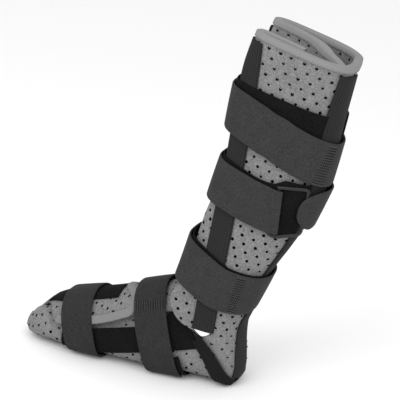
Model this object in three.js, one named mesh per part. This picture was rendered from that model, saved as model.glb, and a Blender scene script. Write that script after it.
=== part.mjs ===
// Walking boot: a soft perforated foam leg wrap and foot wrap, stiffened by webbing
// pockets and closed by hook-and-loop straps.
// Millimetres, +Z up, toe at -X, heel at +X, near side at -Y. The boot stands on z = 0.
import * as THREE from 'three';
import { mergeVertices } from 'three/addons/utils/BufferGeometryUtils.js';

// Driving dimensions
const LEG_HEIGHT = 424; // front of the rim above the floor
const ANKLE_HEIGHT = 130; // where the leg flaps open out over the instep
const LEG_LENGTH = 116; // leg, front to back at the rim
const LEG_WIDTH = 72; // leg, side to side at the rim
const HEEL_LENGTH = 94; // front of the ankle lobes to the back of the heel
const HEEL_WIDTH = 88; // side to side over the ankle lobes
const ANKLE_X = 40; // middle of the ankle along the foot
const FOOT_LENGTH = 275; // heel seam to toe tip
const FOOT_WIDTH = 88; // widest part of the foot wrap
const INSTEP_HEIGHT = 107; // top of the foot wrap at the ankle
const FOAM = 6.5; // padded foam wall
const FOLD_RADIUS = 5.8; // middle of the foam where a flap folds back
const NEAR_FLAP = 46; // flat part of the near flap, folded inside
const FAR_FLAP = 92; // flat part of the far flap, crossing inside
const FLAP_LAP = 14; // foot side wall tucked under the top flap
const GAP = 0.35; // clearance between pieces that touch
const SEWN = 0.75; // clearance under webbing sewn to curved foam
const SLACK = 1.4; // clearance between a strap and its keeper
const WEBBING = 1.9; // webbing thickness
const WEBBING_WIDTH = 25.4;
const STRAP = 2.2; // hook strap thickness
const STRAP_WIDTH = 50.8; // straps round the leg
const KEEPER = 1.5; // loop strap under a hook strap
const KEEPER_WIDTH = 50;
const FOOT_BAND_WIDTH = 31;
const BINDING = 1.2; // edge binding thickness
const BINDING_WIDTH = 10;
const RING_WIRE = 3.6; // calf ring bar thickness
const RING_OPENING = 54; // calf ring, clear width for the strap
const TIP_WIDTH = 15; // bare end of a side stay
const TIP_THICKNESS = 1.2;

const DEG = Math.PI / 180;
const SOLE_Z = STRAP + KEEPER + 3 * GAP; // underside of the sole foam, clear of the straps under it
const HEEL_Z = WEBBING + SEWN; // underside of the heel foam, clear of the heel band
const LEG_LEAN = 0.038; // how much the leg leans back over the heel, beyond its sections' shares
const FOOT_STRAP_WIDTH = 40;

const PANEL_EDGE = 146; // degrees round a leg section to a side panel's front edge

const LEG_ROWS = [
  // height: share of the leg above the ankle; front, back: shares of LEG_LENGTH from the ankle;
  // drop: how far the back of a section lies below its front, share of LEG_LENGTH;
  // half: share of LEG_WIDTH; nose, tail: squareness of the front and back
  { height: 1.0, front: 0.04, back: 0.975, drop: 0.205, half: 0.55, nose: 5.0, tail: 2.5 },
  { height: 0.83, front: -0.045, back: 0.945, drop: 0.185, half: 0.53, nose: 4.8, tail: 2.5 },
  { height: 0.62, front: -0.09, back: 0.9, drop: 0.17, half: 0.51, nose: 4.4, tail: 2.5 },
  { height: 0.43, front: -0.125, back: 0.825, drop: 0.165, half: 0.505, nose: 3.8, tail: 2.5 },
  { height: 0.255, front: -0.24, back: 0.635, drop: 0.165, half: 0.52, nose: 3.4, tail: 2.5 },
  { height: 0.125, front: -0.3, back: 0.475, drop: 0.16, half: 0.56, nose: 3.2, tail: 2.5 },
];

const HEEL_ROWS = [
  // frontX, backX: shares of HEEL_LENGTH from the ankle; frontZ, backZ: shares of ANKLE_HEIGHT;
  // half: share of HEEL_WIDTH; middle: where the section is widest; edge: angle of the front edge
  { frontX: -0.435, frontZ: 1.0, backX: 0.455, backZ: 0.87, half: 0.48, middle: 0.45, nose: 4.0, tail: 2.6, edge: 132 },
  { frontX: -0.535, frontZ: 0.82, backX: 0.43, backZ: 0.72, half: 0.5, middle: 0.4, nose: 8.0, tail: 2.6, edge: 118 },
  { frontX: -0.47, frontZ: 0.67, backX: 0.385, backZ: 0.6, half: 0.5, middle: 0.3, nose: 8.0, tail: 2.6, edge: 116 },
  { frontX: -0.33, frontZ: 0.58, backX: 0.385, backZ: 0.52, half: 0.5, middle: 0.22, nose: 8.0, tail: 2.6, edge: 114 },
  { frontX: -0.14, frontZ: 0.535, backX: 0.4, backZ: 0.42, half: 0.49, middle: 0.14, nose: 8.0, tail: 2.6, edge: 110 },
  { frontX: -0.1, frontZ: 0.51, backX: 0.43, backZ: 0.3, half: 0.465, middle: 0.1, nose: 8.0, tail: 2.6, edge: 106 },
  { frontX: -0.095, frontZ: 0.495, backX: 0.45, backZ: 0.17, half: 0.44, middle: 0.1, nose: 8.0, tail: 2.7, edge: 104 },
  { frontX: -0.093, frontZ: 0.48, backX: 0.435, backZ: 0.06, half: 0.41, middle: 0.1, nose: 8.0, tail: 2.8, edge: 102 },
  { frontX: -0.092, frontZ: 0.47, backX: 0.37, backZ: 0.0, half: 0.4, middle: 0.1, nose: 8.0, tail: 2.9, edge: 100 },
];

const FOOT_ROWS = [
  // sole, top: shares of FOOT_LENGTH ahead of the heel seam, for the bottom and top of a section;
  // low, high: shares of INSTEP_HEIGHT above the sole foam; half: share of FOOT_WIDTH;
  // edge: height of the top flap's near edge, share of the section
  { sole: 0.0, top: 0.293, low: 0.0, high: 1.0, half: 0.4, round: 2.9, crown: 2.6, edge: 0.76 },
  { sole: 0.12, top: 0.335, low: 0.0, high: 0.985, half: 0.43, round: 3.2, crown: 2.3, edge: 0.75 },
  { sole: 0.25, top: 0.38, low: 0.0, high: 0.945, half: 0.46, round: 3.4, crown: 2.2, edge: 0.73 },
  { sole: 0.39, top: 0.45, low: 0.0, high: 0.875, half: 0.485, round: 3.6, crown: 2.1, edge: 0.7 },
  { sole: 0.54, top: 0.56, low: 0.0, high: 0.76, half: 0.485, round: 3.6, crown: 2.1, edge: 0.6 },
  { sole: 0.69, top: 0.69, low: 0.0, high: 0.645, half: 0.47, round: 3.6, crown: 2.1, edge: 0.52 },
  { sole: 0.8, top: 0.79, low: 0.0, high: 0.55, half: 0.455, round: 3.4, crown: 2.2, edge: 0.52 },
  { sole: 0.865, top: 0.85, low: 0.0, high: 0.45, half: 0.43, round: 3.0, crown: 2.2, edge: 0.62 },
  { sole: 0.92, top: 0.905, low: 0.0, high: 0.33, half: 0.385, round: 2.8, crown: 2.2, edge: 0.88 },
  { sole: 0.965, top: 0.955, low: 0.0, high: 0.19, half: 0.3, round: 2.4, crown: 2.2, edge: 0.92 },
  { sole: 0.988, top: 0.988, low: 0.02, high: 0.11, half: 0.14, round: 2.2, crown: 2.2, edge: 0.95 },
];
const FLAP_FRONT_ROW = 7; // the top flap ends at this foot row

// Small helpers
const lerp = (a, b, t) => a + (b - a) * t;
const smooth = (t) => {
  const s = Math.min(1, Math.max(0, t));
  return s * s * (3 - 2 * s);
};
const power = (v, n) => Math.sign(v) * Math.abs(v) ** n;

// A smooth value between the rows of a table: t runs from 0 to the last row's index
function between(rows, key, t) {
  const last = rows.length - 1;
  const at = Math.min(last, Math.max(0, t));
  const i = Math.min(last - 1, Math.floor(at));
  const s = at - i;
  const p = [i - 1, i, i + 1, i + 2].map((k) => rows[Math.min(last, Math.max(0, k))][key]);
  const a = (p[2] - p[0]) / 2;
  const b = (p[3] - p[1]) / 2;
  const d = p[1] - p[2];
  return p[1] + s * (a + s * (-3 * d - 2 * a - b + s * (2 * d + a + b)));
}

// A section turned with the leg's lean
function leaned(section, share) {
  const lean = share * LEG_LEAN;
  return {
    ...section,
    frontX: section.frontX + lean * section.frontZ,
    frontZ: section.frontZ - lean * (section.frontX - ANKLE_X),
    backX: section.backX + lean * section.backZ,
    backZ: section.backZ - lean * (section.backX - ANKLE_X),
  };
}

// The boot's sections, from the rim down to the heel seam, in millimetres
const legSections = [
  ...LEG_ROWS.map((row) => {
    const frontZ = lerp(ANKLE_HEIGHT, LEG_HEIGHT, row.height);
    return leaned({
      frontX: ANKLE_X + row.front * LEG_LENGTH,
      frontZ,
      backX: ANKLE_X + row.back * LEG_LENGTH,
      backZ: frontZ - row.drop * LEG_LENGTH,
      half: row.half * LEG_WIDTH,
      middle: 0.5,
      nose: row.nose,
      tail: row.tail,
      edge: PANEL_EDGE,
    }, 1);
  }),
  ...HEEL_ROWS.map((row, i) => leaned({
    ...row,
    frontX: ANKLE_X + row.frontX * HEEL_LENGTH,
    frontZ: row.frontZ * ANKLE_HEIGHT,
    backX: ANKLE_X + row.backX * HEEL_LENGTH,
    backZ: row.backZ * ANKLE_HEIGHT + HEEL_Z * (1 - row.backZ),
    half: row.half * HEEL_WIDTH,
  }, 1 - i / (HEEL_ROWS.length - 1))),
];
const ANKLE_ROW = LEG_ROWS.length; // the first heel row
const SEAM_ROW = legSections.length - 1;
const seam = legSections[SEAM_ROW];

const footSections = FOOT_ROWS.map((row) => ({
  frontX: seam.backX - 1.2 * GAP - row.sole * FOOT_LENGTH,
  frontZ: (row.sole > 0 ? SOLE_Z : HEEL_Z) + row.low * INSTEP_HEIGHT,
  backX: seam.backX - 1.2 * GAP - row.top * FOOT_LENGTH,
  backZ: SOLE_Z + row.high * (INSTEP_HEIGHT - SOLE_Z),
  half: row.half * FOOT_WIDTH,
  middle: 0.32,
  nose: row.round,
  tail: row.crown,
  edge: row.edge,
}));
const TOE_ROW = footSections.length - 1;

// The foam's rows; between two of them every surface is straight
const LEG_LEVELS = [0, 0.5, 1, 2, 3, 4, 4.6, 5, 5.5, 6, 6.5, 7, 7.5, 8, 8.5, 9, 10, 11, 12, 13, SEAM_ROW];
const FOOT_LEVELS = [0, 0.5, 1, 2, 3, 4, 5, 6, 6.5, 7, 7.5, 8, 8.5, 9, 9.5, TOE_ROW];
const KEYS = ['frontX', 'frontZ', 'backX', 'backZ', 'half', 'middle', 'nose', 'tail', 'edge'];
function sectionAt(sections, level) {
  const levels = sections === legSections ? LEG_LEVELS : FOOT_LEVELS;
  const last = levels.length - 1;
  const at = Math.min(levels[last], Math.max(0, level));
  const row = Math.min(last - 1, levels.findLastIndex((value) => value <= at));
  const share = (at - levels[row]) / (levels[row + 1] - levels[row]);
  const section = {};
  for (const key of KEYS) {
    section[key] = lerp(between(sections, key, levels[row]), between(sections, key, levels[row + 1]), share);
  }
  const dx = section.backX - section.frontX;
  const dz = section.backZ - section.frontZ;
  section.length = Math.hypot(dx, dz);
  section.along = [dx / section.length, dz / section.length];
  return section;
}

// A point in a section's plane: q runs from its front to its back, y across the boot
function place(section, q, y) {
  return new THREE.Vector3(
    section.frontX + section.along[0] * q,
    y,
    section.frontZ + section.along[1] * q,
  );
}

// The closed outline of a section: 0 degrees is its back, 90 the near side, 180 the front
function outline(section, degrees) {
  const c = Math.cos(degrees * DEG);
  const s = Math.sin(degrees * DEG);
  const centre = section.middle * section.length;
  const n = c > 0 ? section.tail : section.nose;
  const reach = c > 0 ? section.length - centre : centre;
  const side = power(s, 2 / n);
  return [centre + reach * power(c, 2 / n), -section.half * side];
}

// The outline's direction at an angle, running from the back round the near side
function heading(section, degrees) {
  const step = 0.6;
  const a = outline(section, degrees - step);
  const b = outline(section, degrees + step);
  const length = Math.hypot(b[0] - a[0], b[1] - a[1]) || 1;
  return [(b[0] - a[0]) / length, (b[1] - a[1]) / length];
}

// A point off a section's outline, out being away from the boot
function offOutline(section, degrees, out) {
  const [q, y] = outline(section, degrees);
  const [hq, hy] = heading(section, degrees);
  return place(section, q - hy * out, y + hq * out);
}

// The closed outline measured along its length: the angle that lies some way round from another
function angleAlong(section, degrees, distance) {
  const turn = Math.sign(distance) * 0.5;
  let left = Math.abs(distance);
  let at = degrees;
  let here = outline(section, at);
  while (left > 0) {
    const next = outline(section, at + turn);
    const step = Math.hypot(next[0] - here[0], next[1] - here[1]);
    if (step >= left) {
      return at + (turn * left) / step;
    }
    left -= step;
    at += turn;
    here = next;
  }
  return at;
}

// The level at which a section's outline, at an angle, reaches a coordinate that falls with level
function levelWhere(sections, degrees, axis, value, out = 0) {
  let low = 0;
  let high = sections.length - 1;
  for (let i = 0; i < 26; i += 1) {
    const level = (low + high) / 2;
    const point = offOutline(sectionAt(sections, level), degrees, out);
    if (point[axis] > value) {
      low = level;
    } else {
      high = level;
    }
  }
  return (low + high) / 2;
}

// Solids from grids
// A sheet's grid of points becomes one closed solid. point(row, column, side) gives its outer
// (side 0) and inner (side 1) skins; active(row, column) says which cells are there.
function gridSolid({ rows, columns, point, active = () => true, loop = false }) {
  const positions = [];
  const columnCount = loop ? columns : columns + 1;
  const vertex = (r, c, side) => (r * columnCount + (c % columnCount)) * 2 + side;
  for (let r = 0; r <= rows; r += 1) {
    for (let c = 0; c < columnCount; c += 1) {
      positions.push(...point(r, c, 0).toArray(), ...point(r, c, 1).toArray());
    }
  }
  const present = (r, c) => {
    if (r < 0 || r >= rows) {
      return false;
    }
    if (loop) {
      return active(r, (c + columns) % columns);
    }
    return c >= 0 && c < columns && active(r, c);
  };
  const faces = [];
  const quad = (a, b, c, d) => faces.push(a, b, c, a, c, d);
  for (let r = 0; r < rows; r += 1) {
    for (let c = 0; c < columns; c += 1) {
      if (!present(r, c)) {
        continue;
      }
      const corners = [[r, c], [r, c + 1], [r + 1, c + 1], [r + 1, c]];
      quad(...corners.map(([i, j]) => vertex(i, j, 0)));
      quad(...corners.map(([i, j]) => vertex(i, j, 1)).reverse());
      const sides = [present(r - 1, c), present(r, c + 1), present(r + 1, c), present(r, c - 1)];
      sides.forEach((closed, k) => {
        if (!closed) {
          const [i, j] = corners[k];
          const [m, n] = corners[(k + 1) % 4];
          quad(vertex(m, n, 0), vertex(i, j, 0), vertex(i, j, 1), vertex(m, n, 1));
        }
      });
    }
  }
  return closedGeometry(positions, faces);
}

// One closed body with its faces out and no needless or flat triangles
function closedGeometry(positions, faces) {
  const raw = new THREE.BufferGeometry();
  raw.setAttribute('position', new THREE.Float32BufferAttribute(positions, 3));
  raw.setIndex(faces);
  const merged = mergeVertices(raw, 1e-3);
  const index = merged.getIndex().array;
  const kept = [];
  for (let i = 0; i < index.length; i += 3) {
    const [a, b, c] = [index[i], index[i + 1], index[i + 2]];
    if (a !== b && b !== c && c !== a) {
      kept.push(a, b, c);
    }
  }
  const at = (i) => new THREE.Vector3().fromBufferAttribute(merged.getAttribute('position'), i);
  let volume = 0;
  for (let i = 0; i < kept.length; i += 3) {
    volume += at(kept[i]).dot(at(kept[i + 1]).cross(at(kept[i + 2])));
  }
  if (volume < 0) {
    kept.reverse();
  }
  merged.setIndex(kept);
  const used = merged.toNonIndexed();
  used.computeVertexNormals();
  return used;
}

// A band laid over the sections. level(t) and angle(t) give its middle line for t from 0 to 1;
// it is straight across its width, and out(t) is its clearance from the foam.
const BAND_REACH = 0.4; // levels each way over which a band takes its slope
function bandSolid({ sections, level, angle, out, width, thickness, steps, loop = false, across = 1 }) {
  const frame = (t) => {
    const l = level(t);
    const a = angle(t);
    const o = out(t);
    const middle = offOutline(sectionAt(sections, l), a, o);
    const above = offOutline(sectionAt(sections, l - BAND_REACH), a, o);
    const below = offOutline(sectionAt(sections, l + BAND_REACH), a, o);
    const up = above.sub(below).normalize();
    const step = 0.004;
    const back = offOutline(sectionAt(sections, level(t - step)), angle(t - step), out(t - step));
    const ahead = offOutline(sectionAt(sections, level(t + step)), angle(t + step), out(t + step));
    const along = ahead.sub(back).normalize();
    const side = along.clone().cross(up).normalize();
    up.copy(side).cross(along).normalize();
    const inward = middle.clone().sub(place(sectionAt(sections, l), sectionAt(sections, l).length / 2, 0));
    if (side.dot(inward) < 0) {
      side.negate();
    }
    return { middle, up, side };
  };
  return gridSolid({
    rows: across,
    columns: steps,
    loop,
    point: (r, c, skin) => {
      const t = c / steps;
      const { middle, up, side } = frame(t);
      const half = typeof width === 'function' ? width(t) / 2 : width / 2;
      return middle
        .clone()
        .addScaledVector(up, lerp(half, -half, r / across))
        .addScaledVector(side, skin === 0 ? thickness : 0);
    },
  });
}

// The foam's rows from one level to another, with both ends
function rowsBetween(sections, from, to) {
  const rows = sections === legSections ? LEG_LEVELS : FOOT_LEVELS;
  return [from, ...rows.filter((level) => level > from + 0.1 && level < to - 0.1), to];
}

// A strip that runs along the sections, curved across its width over their outline.
// angle(level) is the angle of its middle line.
function stripSolid({ sections, from, to, angle, out, width, thickness, across = 3, side = 1 }) {
  const levels = rowsBetween(sections, from, to);
  return gridSolid({
    rows: levels.length - 1,
    columns: across,
    point: (r, c, skin) => {
      const level = levels[r];
      const section = sectionAt(sections, level);
      const span = typeof width === 'function' ? width(level) : width;
      const at = angleAlong(section, angle(level), side * lerp(-span / 2, span / 2, c / across));
      return offOutline(section, at, out + (skin === 0 ? thickness : 0));
    },
  });
}

// Leg wrap
const NEAR_COLUMNS = { flat: 3, fold: 5 };
const FAR_COLUMNS = { flat: 4, fold: 5 };
const PANEL_COLUMNS = 22;
const FAR_FLAP_TURN = 26; // degrees the far flap slants inward across the leg
const NEAR_FLAP_TURN = 1;
const FOLD_TOP_ROWS = 5; // the flaps stay folded down to this row
const LEG_COLUMNS = NEAR_COLUMNS.flat + NEAR_COLUMNS.fold + PANEL_COLUMNS
  + FAR_COLUMNS.fold + FAR_COLUMNS.flat;

// How much of a folded flap is left: it opens out towards the ankle
const flapShare = (level) => 1 - 0.8 * smooth(level / FOLD_TOP_ROWS);

// A flap's middle line in a section's plane, on the near side: from the panel's front edge it
// turns back round the fold, then runs flat inside the leg
function flapPoint(section, flat, slant, columns, step) {
  const [q0, y0] = outline(section, section.edge);
  const [hq, hy] = heading(section, section.edge);
  const start = [q0 + (hy * FOAM) / 2, y0 - (hq * FOAM) / 2];
  const from = Math.atan2(hy, hq);
  const to = slant * DEG;
  const turn = ((from - to) + 2 * Math.PI) % (2 * Math.PI);
  const centre = [start[0] + hy * FOLD_RADIUS, start[1] - hq * FOLD_RADIUS];
  const folded = Math.min(1, step / columns.fold);
  const angle = from - turn * folded;
  const normal = [-Math.sin(angle), Math.cos(angle)];
  const run = Math.max(0, (step - columns.fold) / columns.flat) * flat;
  return {
    q: centre[0] + normal[0] * FOLD_RADIUS + Math.cos(angle) * run,
    y: centre[1] + normal[1] * FOLD_RADIUS + Math.sin(angle) * run,
    normal,
  };
}

// A point of the leg wrap's foam: depth 0 is its outer skin and FOAM its inner one
function legPoint(level, column, depth) {
  const section = sectionAt(legSections, level);
  const nearEnd = NEAR_COLUMNS.flat + NEAR_COLUMNS.fold;
  const farStart = nearEnd + PANEL_COLUMNS;
  if (column >= nearEnd && column <= farStart) {
    const edge = section.edge;
    const angle = lerp(edge, -edge, (column - nearEnd) / PANEL_COLUMNS);
    return offOutline(section, angle, -depth);
  }
  const near = column < nearEnd;
  const step = near ? nearEnd - column : column - farStart;
  const columns = near ? NEAR_COLUMNS : FAR_COLUMNS;
  const flat = (near ? NEAR_FLAP : FAR_FLAP) * flapShare(level);
  const slant = near ? NEAR_FLAP_TURN : FAR_FLAP_TURN;
  const { q, y, normal } = flapPoint(section, flat, slant, columns, step);
  const out = FOAM / 2 - depth;
  const side = near ? 1 : -1;
  return place(section, q + normal[0] * out, side * (y + normal[1] * out));
}

function legWrap() {
  const levels = LEG_LEVELS;
  const foldEnd = levels.indexOf(FOLD_TOP_ROWS);
  const nearEnd = NEAR_COLUMNS.flat + NEAR_COLUMNS.fold;
  return gridSolid({
    rows: levels.length - 1,
    columns: LEG_COLUMNS,
    active: (r, c) => (c >= nearEnd && c < nearEnd + PANEL_COLUMNS) || r < foldEnd,
    point: (r, c, skin) => legPoint(levels[r], c, skin === 0 ? 0 : FOAM),
  });
}

// How many levels a length takes just below the rim
const rimLevels = (length) =>
  length / ((LEG_ROWS[0].height - LEG_ROWS[1].height) * (LEG_HEIGHT - ANKLE_HEIGHT));

// The binding folded over the rim, from its outer hem over the top to its inner hem
function rimBinding() {
  const section = sectionAt(legSections, 0);
  const rise = place(section, 0, 0).sub(place(sectionAt(legSections, 0.5), 0, 0)).normalize();
  const path = [
    { drop: BINDING_WIDTH, depth: 0, out: 1 },
    { drop: 0, depth: 0, out: 1, up: 0.4 },
    { drop: 0, depth: 0.2, out: 0.5, up: 1 },
    { drop: 0, depth: 0.8, out: -0.5, up: 1 },
    { drop: 0, depth: 1, out: -1, up: 0.4 },
    { drop: BINDING_WIDTH, depth: 1, out: -1 },
  ];
  return gridSolid({
    rows: path.length - 1,
    columns: LEG_COLUMNS,
    point: (r, c, skin) => {
      const { drop, depth, out, up = 0 } = path[r];
      const reach = GAP + (skin === 0 ? BINDING : 0);
      return legPoint(rimLevels(drop), c, depth * FOAM - out * reach)
        .addScaledVector(rise, up * reach);
    },
  });
}

// Foot wrap
const LAP_LIFT = 3.6; // how far the top flap's near edge stands off the side wall's line
const LAP_SINK = 4.9; // how far the side wall's tucked edge sinks under it
const LAP_START = 26; // degrees round a section over which it lifts
const WALL_COLUMNS = 9;
const FAR_WALL_COLUMNS = 15;
const FLAP_COLUMNS = FAR_WALL_COLUMNS + 4;
const LAP_COLUMNS = 2;
const TOE_END_HOLE = 0.3; // share of the toe's blunt end left open inside
const TOE_GAP = 24; // degrees left open on each side of the toe's top

// The angle on a foot section at which its outline reaches a share of its height, near side
function angleAtHeight(section, share) {
  let low = 20;
  let high = 178;
  for (let i = 0; i < 24; i += 1) {
    const angle = (low + high) / 2;
    if (outline(section, 180 - angle)[0] < share * section.length) {
      low = angle;
    } else {
      high = angle;
    }
  }
  return 180 - (low + high) / 2;
}

// Columns run from the near wall's tucked edge down to the sole, up the far side and over the
// top to the flap's near edge. 0 degrees is a section's top and 180 the sole.
function footAngle(section, column) {
  const edge = angleAtHeight(section, section.edge);
  const wallEnd = LAP_COLUMNS + WALL_COLUMNS;
  if (column < LAP_COLUMNS) {
    return lerp(angleAlong(section, edge, -FLAP_LAP), edge, column / LAP_COLUMNS);
  }
  if (column <= wallEnd) {
    return lerp(edge, 180, (column - LAP_COLUMNS) / WALL_COLUMNS);
  }
  const flapStart = wallEnd + FAR_WALL_COLUMNS;
  if (column <= flapStart) {
    return lerp(180, 360, (column - wallEnd) / FAR_WALL_COLUMNS);
  }
  return 360 + (edge * (column - flapStart)) / (FLAP_COLUMNS - FAR_WALL_COLUMNS);
}

function footPoint(level, column, depth) {
  const section = sectionAt(footSections, level);
  const angle = footAngle(section, column);
  if (level >= TOE_ROW && depth > 0) {
    const [q, y] = outline(section, angle);
    const middle = section.middle * section.length;
    return place(section, lerp(middle, q, TOE_END_HOLE), y * TOE_END_HOLE).add(new THREE.Vector3(depth, 0, 0));
  }
  const edge = angleAtHeight(section, section.edge);
  const flap = column > LAP_COLUMNS + WALL_COLUMNS;
  const under = 1 - smooth((level - FLAP_FRONT_ROW) / 0.8);
  const sink = LAP_SINK * under * smooth((edge + LAP_START - angle) / LAP_START);
  const lift = LAP_LIFT * smooth((angle - 360) / edge);
  return offOutline(section, angle, flap ? lift - depth : -sink - depth);
}

function footWrap() {
  const levels = FOOT_LEVELS;
  const flapEnd = levels.indexOf(FLAP_FRONT_ROW);
  const wallEnd = LAP_COLUMNS + WALL_COLUMNS;
  const open = (r, c) => {
    const section = sectionAt(footSections, levels[r]);
    return c >= LAP_COLUMNS && footAngle(section, c + 1) < 360 - TOE_GAP;
  };
  return gridSolid({
    rows: levels.length - 1,
    columns: wallEnd + FLAP_COLUMNS,
    active: (r, c) => r < flapEnd || open(r, c),
    point: (r, c, skin) => footPoint(levels[r], c, skin === 0 ? 0 : FOAM),
  });
}

// The plain binding along the top flap's near edge
function footBinding() {
  const column = LAP_COLUMNS + WALL_COLUMNS + FLAP_COLUMNS;
  const edgeAngle = (level) => {
    const section = sectionAt(footSections, level);
    const edge = angleAtHeight(section, section.edge);
    return angleAlong(section, edge, -BINDING_WIDTH / 2 - GAP);
  };
  return stripSolid({
    sections: footSections,
    from: 0.9,
    to: FLAP_FRONT_ROW,
    angle: edgeAngle,
    out: LAP_LIFT + SEWN,
    width: BINDING_WIDTH,
    thickness: BINDING,
    across: 2,
  });
}

// Webbing on the leg
const STAY_TOP = 0.29; // level of a side stay's upper end, just under the rim binding
const STAY_LEAN = { top: 66.5, ankle: 47 }; // middle of a side stay along the foot
const STAY_FOOT = 8.75; // level of its lower end

// A point on the leg wrap's skin, measured round from a side panel's front edge: a positive
// distance runs back along the panel and a negative one round the fold
function roundPanel(level, side, distance, out) {
  const start = NEAR_COLUMNS.flat + NEAR_COLUMNS.fold;
  const columnAt = (steps) => (side > 0 ? start + steps : start + PANEL_COLUMNS - steps);
  const point = (steps) => legPoint(level, columnAt(steps), -out);
  const turn = Math.sign(distance) * 0.1;
  let left = Math.abs(distance);
  let steps = 0;
  let here = point(0);
  while (left > 0) {
    const next = point(steps + turn);
    const length = next.distanceTo(here);
    if (length >= left) {
      return point(steps + (turn * left) / length);
    }
    left -= length;
    steps += turn;
    here = next;
  }
  return point(steps);
}

// How far a side stay's middle lies behind the panel's front edge
function stayDistance(level) {
  const section = sectionAt(legSections, level);
  const side = (section.frontZ + section.backZ) / 2;
  const x = lerp(STAY_LEAN.ankle, STAY_LEAN.top, (side - ANKLE_HEIGHT) / (LEG_HEIGHT - ANKLE_HEIGHT));
  let low = -WEBBING_WIDTH / 2;
  let high = LEG_LENGTH / 2;
  for (let i = 0; i < 14; i += 1) {
    const distance = (low + high) / 2;
    if (roundPanel(level, 1, distance, 0).x < x) {
      low = distance;
    } else {
      high = distance;
    }
  }
  return (low + high) / 2;
}

function stayStrip({ side, from, to, width, thickness }) {
  const levels = rowsBetween(legSections, from, to);
  const columns = 5;
  return gridSolid({
    rows: levels.length - 1,
    columns,
    point: (r, c, skin) => {
      const level = levels[r];
      const across = lerp(-0.5, 0.5, c / columns) * width(level);
      return roundPanel(level, side, stayDistance(level) + across, SEWN + (skin === 0 ? thickness : 0));
    },
  });
}

function sideStay(side) {
  return stayStrip({
    side,
    from: STAY_TOP,
    to: STAY_FOOT,
    width: () => WEBBING_WIDTH,
    thickness: WEBBING,
  });
}

const BACK_SHIFT = [
  // how far the back webbing's middle lies round towards the near side
  { level: 0, shift: 13 },
  { level: 2, shift: 8 },
  { level: 4, shift: -3 },
  { level: 8, shift: 2 },
  { level: 12, shift: 3 },
];

function tableValue(rows, from, key, at) {
  const last = rows.length - 1;
  const i = Math.max(0, rows.findLastIndex((row, k) => k < last && row[from] <= at));
  const t = (at - rows[i][from]) / (rows[i + 1][from] - rows[i][from]);
  return lerp(rows[i][key], rows[i + 1][key], Math.min(1, Math.max(0, t)));
}

function backWebbing() {
  return stripSolid({
    sections: legSections,
    from: STAY_TOP,
    to: SEAM_ROW - 1.3,
    angle: (level) => angleAlong(sectionAt(legSections, level), 0, tableValue(BACK_SHIFT, 'level', 'shift', level)),
    out: 1.2 * SEWN,
    width: WEBBING_WIDTH,
    thickness: WEBBING,
  });
}

// The band that covers the seam between the heel and the foot, under the heel and up both sides
function heelBand() {
  const end = 86;
  const steps = 26;
  const reach = [-0.5, -0.33, -0.17, 0, 0.17, 0.33, 0.5];
  const out = HEEL_Z - WEBBING;
  return gridSolid({
    rows: reach.length - 1,
    columns: steps,
    point: (r, c, skin) => {
      const angle = lerp(end, -end, c / steps);
      const corner = 2.6 * SEWN * smooth(Math.abs(angle) / 25);
      const off = out + corner + (skin === 0 ? WEBBING : 0);
      return besideSeam(angle, reach[r] * WEBBING_WIDTH, off);
    },
  });
}

// A point beside the heel seam: behind it on the leg wrap, ahead of it on the foot wrap
function besideSeam(angle, distance, out) {
  const onLeg = (level) => offOutline(sectionAt(legSections, level), angle, out);
  const onFoot = (level) => offOutline(sectionAt(footSections, level), 180 - angle, out);
  const start = onLeg(SEAM_ROW);
  const [surface, from, to] = distance < 0 ? [onLeg, SEAM_ROW, ANKLE_ROW] : [onFoot, 0, 3];
  let near = from;
  let far = to;
  for (let i = 0; i < 24; i += 1) {
    const level = (near + far) / 2;
    if (surface(level).distanceTo(start) < Math.abs(distance)) {
      near = level;
    } else {
      far = level;
    }
  }
  return distance === 0 ? start : surface((near + far) / 2);
}

// Webbing bands along the sides of the foot, from the toe strap to the heel band
const FOOT_BAND_FRONT = { level: 6.15, x: -142, height: 12 }; // the band's middle at its front end
const FOOT_BAND_BACK = { level: 0.62, x: 36, height: 60 }; // and at its back end

function footBandAngle(level) {
  const section = sectionAt(footSections, level);
  const line = (x) =>
    lerp(FOOT_BAND_FRONT.height, FOOT_BAND_BACK.height,
      (x - FOOT_BAND_FRONT.x) / (FOOT_BAND_BACK.x - FOOT_BAND_FRONT.x));
  let low = 60;
  let high = 175;
  for (let i = 0; i < 24; i += 1) {
    const angle = (low + high) / 2;
    const point = offOutline(section, angle, 0);
    if (point.z > line(point.x)) {
      low = angle;
    } else {
      high = angle;
    }
  }
  return (low + high) / 2;
}

function footBand(side) {
  return stripSolid({
    sections: footSections,
    from: FOOT_BAND_BACK.level,
    to: FOOT_BAND_FRONT.level,
    side,
    angle: (level) => side * footBandAngle(level),
    out: 1.2 * SEWN,
    width: (level) => FOOT_BAND_WIDTH * (1 - 0.15 * smooth((level - 4) / 2)),
    thickness: WEBBING,
    across: 6,
  });
}

// The bare end of a side stay, seen between the stay's pocket and the foot band
function stayTip(side) {
  const from = STAY_FOOT + 0.1;
  const length = 0.35;
  return stayStrip({
    side,
    from,
    to: from + length,
    width: (level) => TIP_WIDTH * (1 - (0.7 * (level - from)) / length),
    thickness: TIP_THICKNESS,
  });
}

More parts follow.
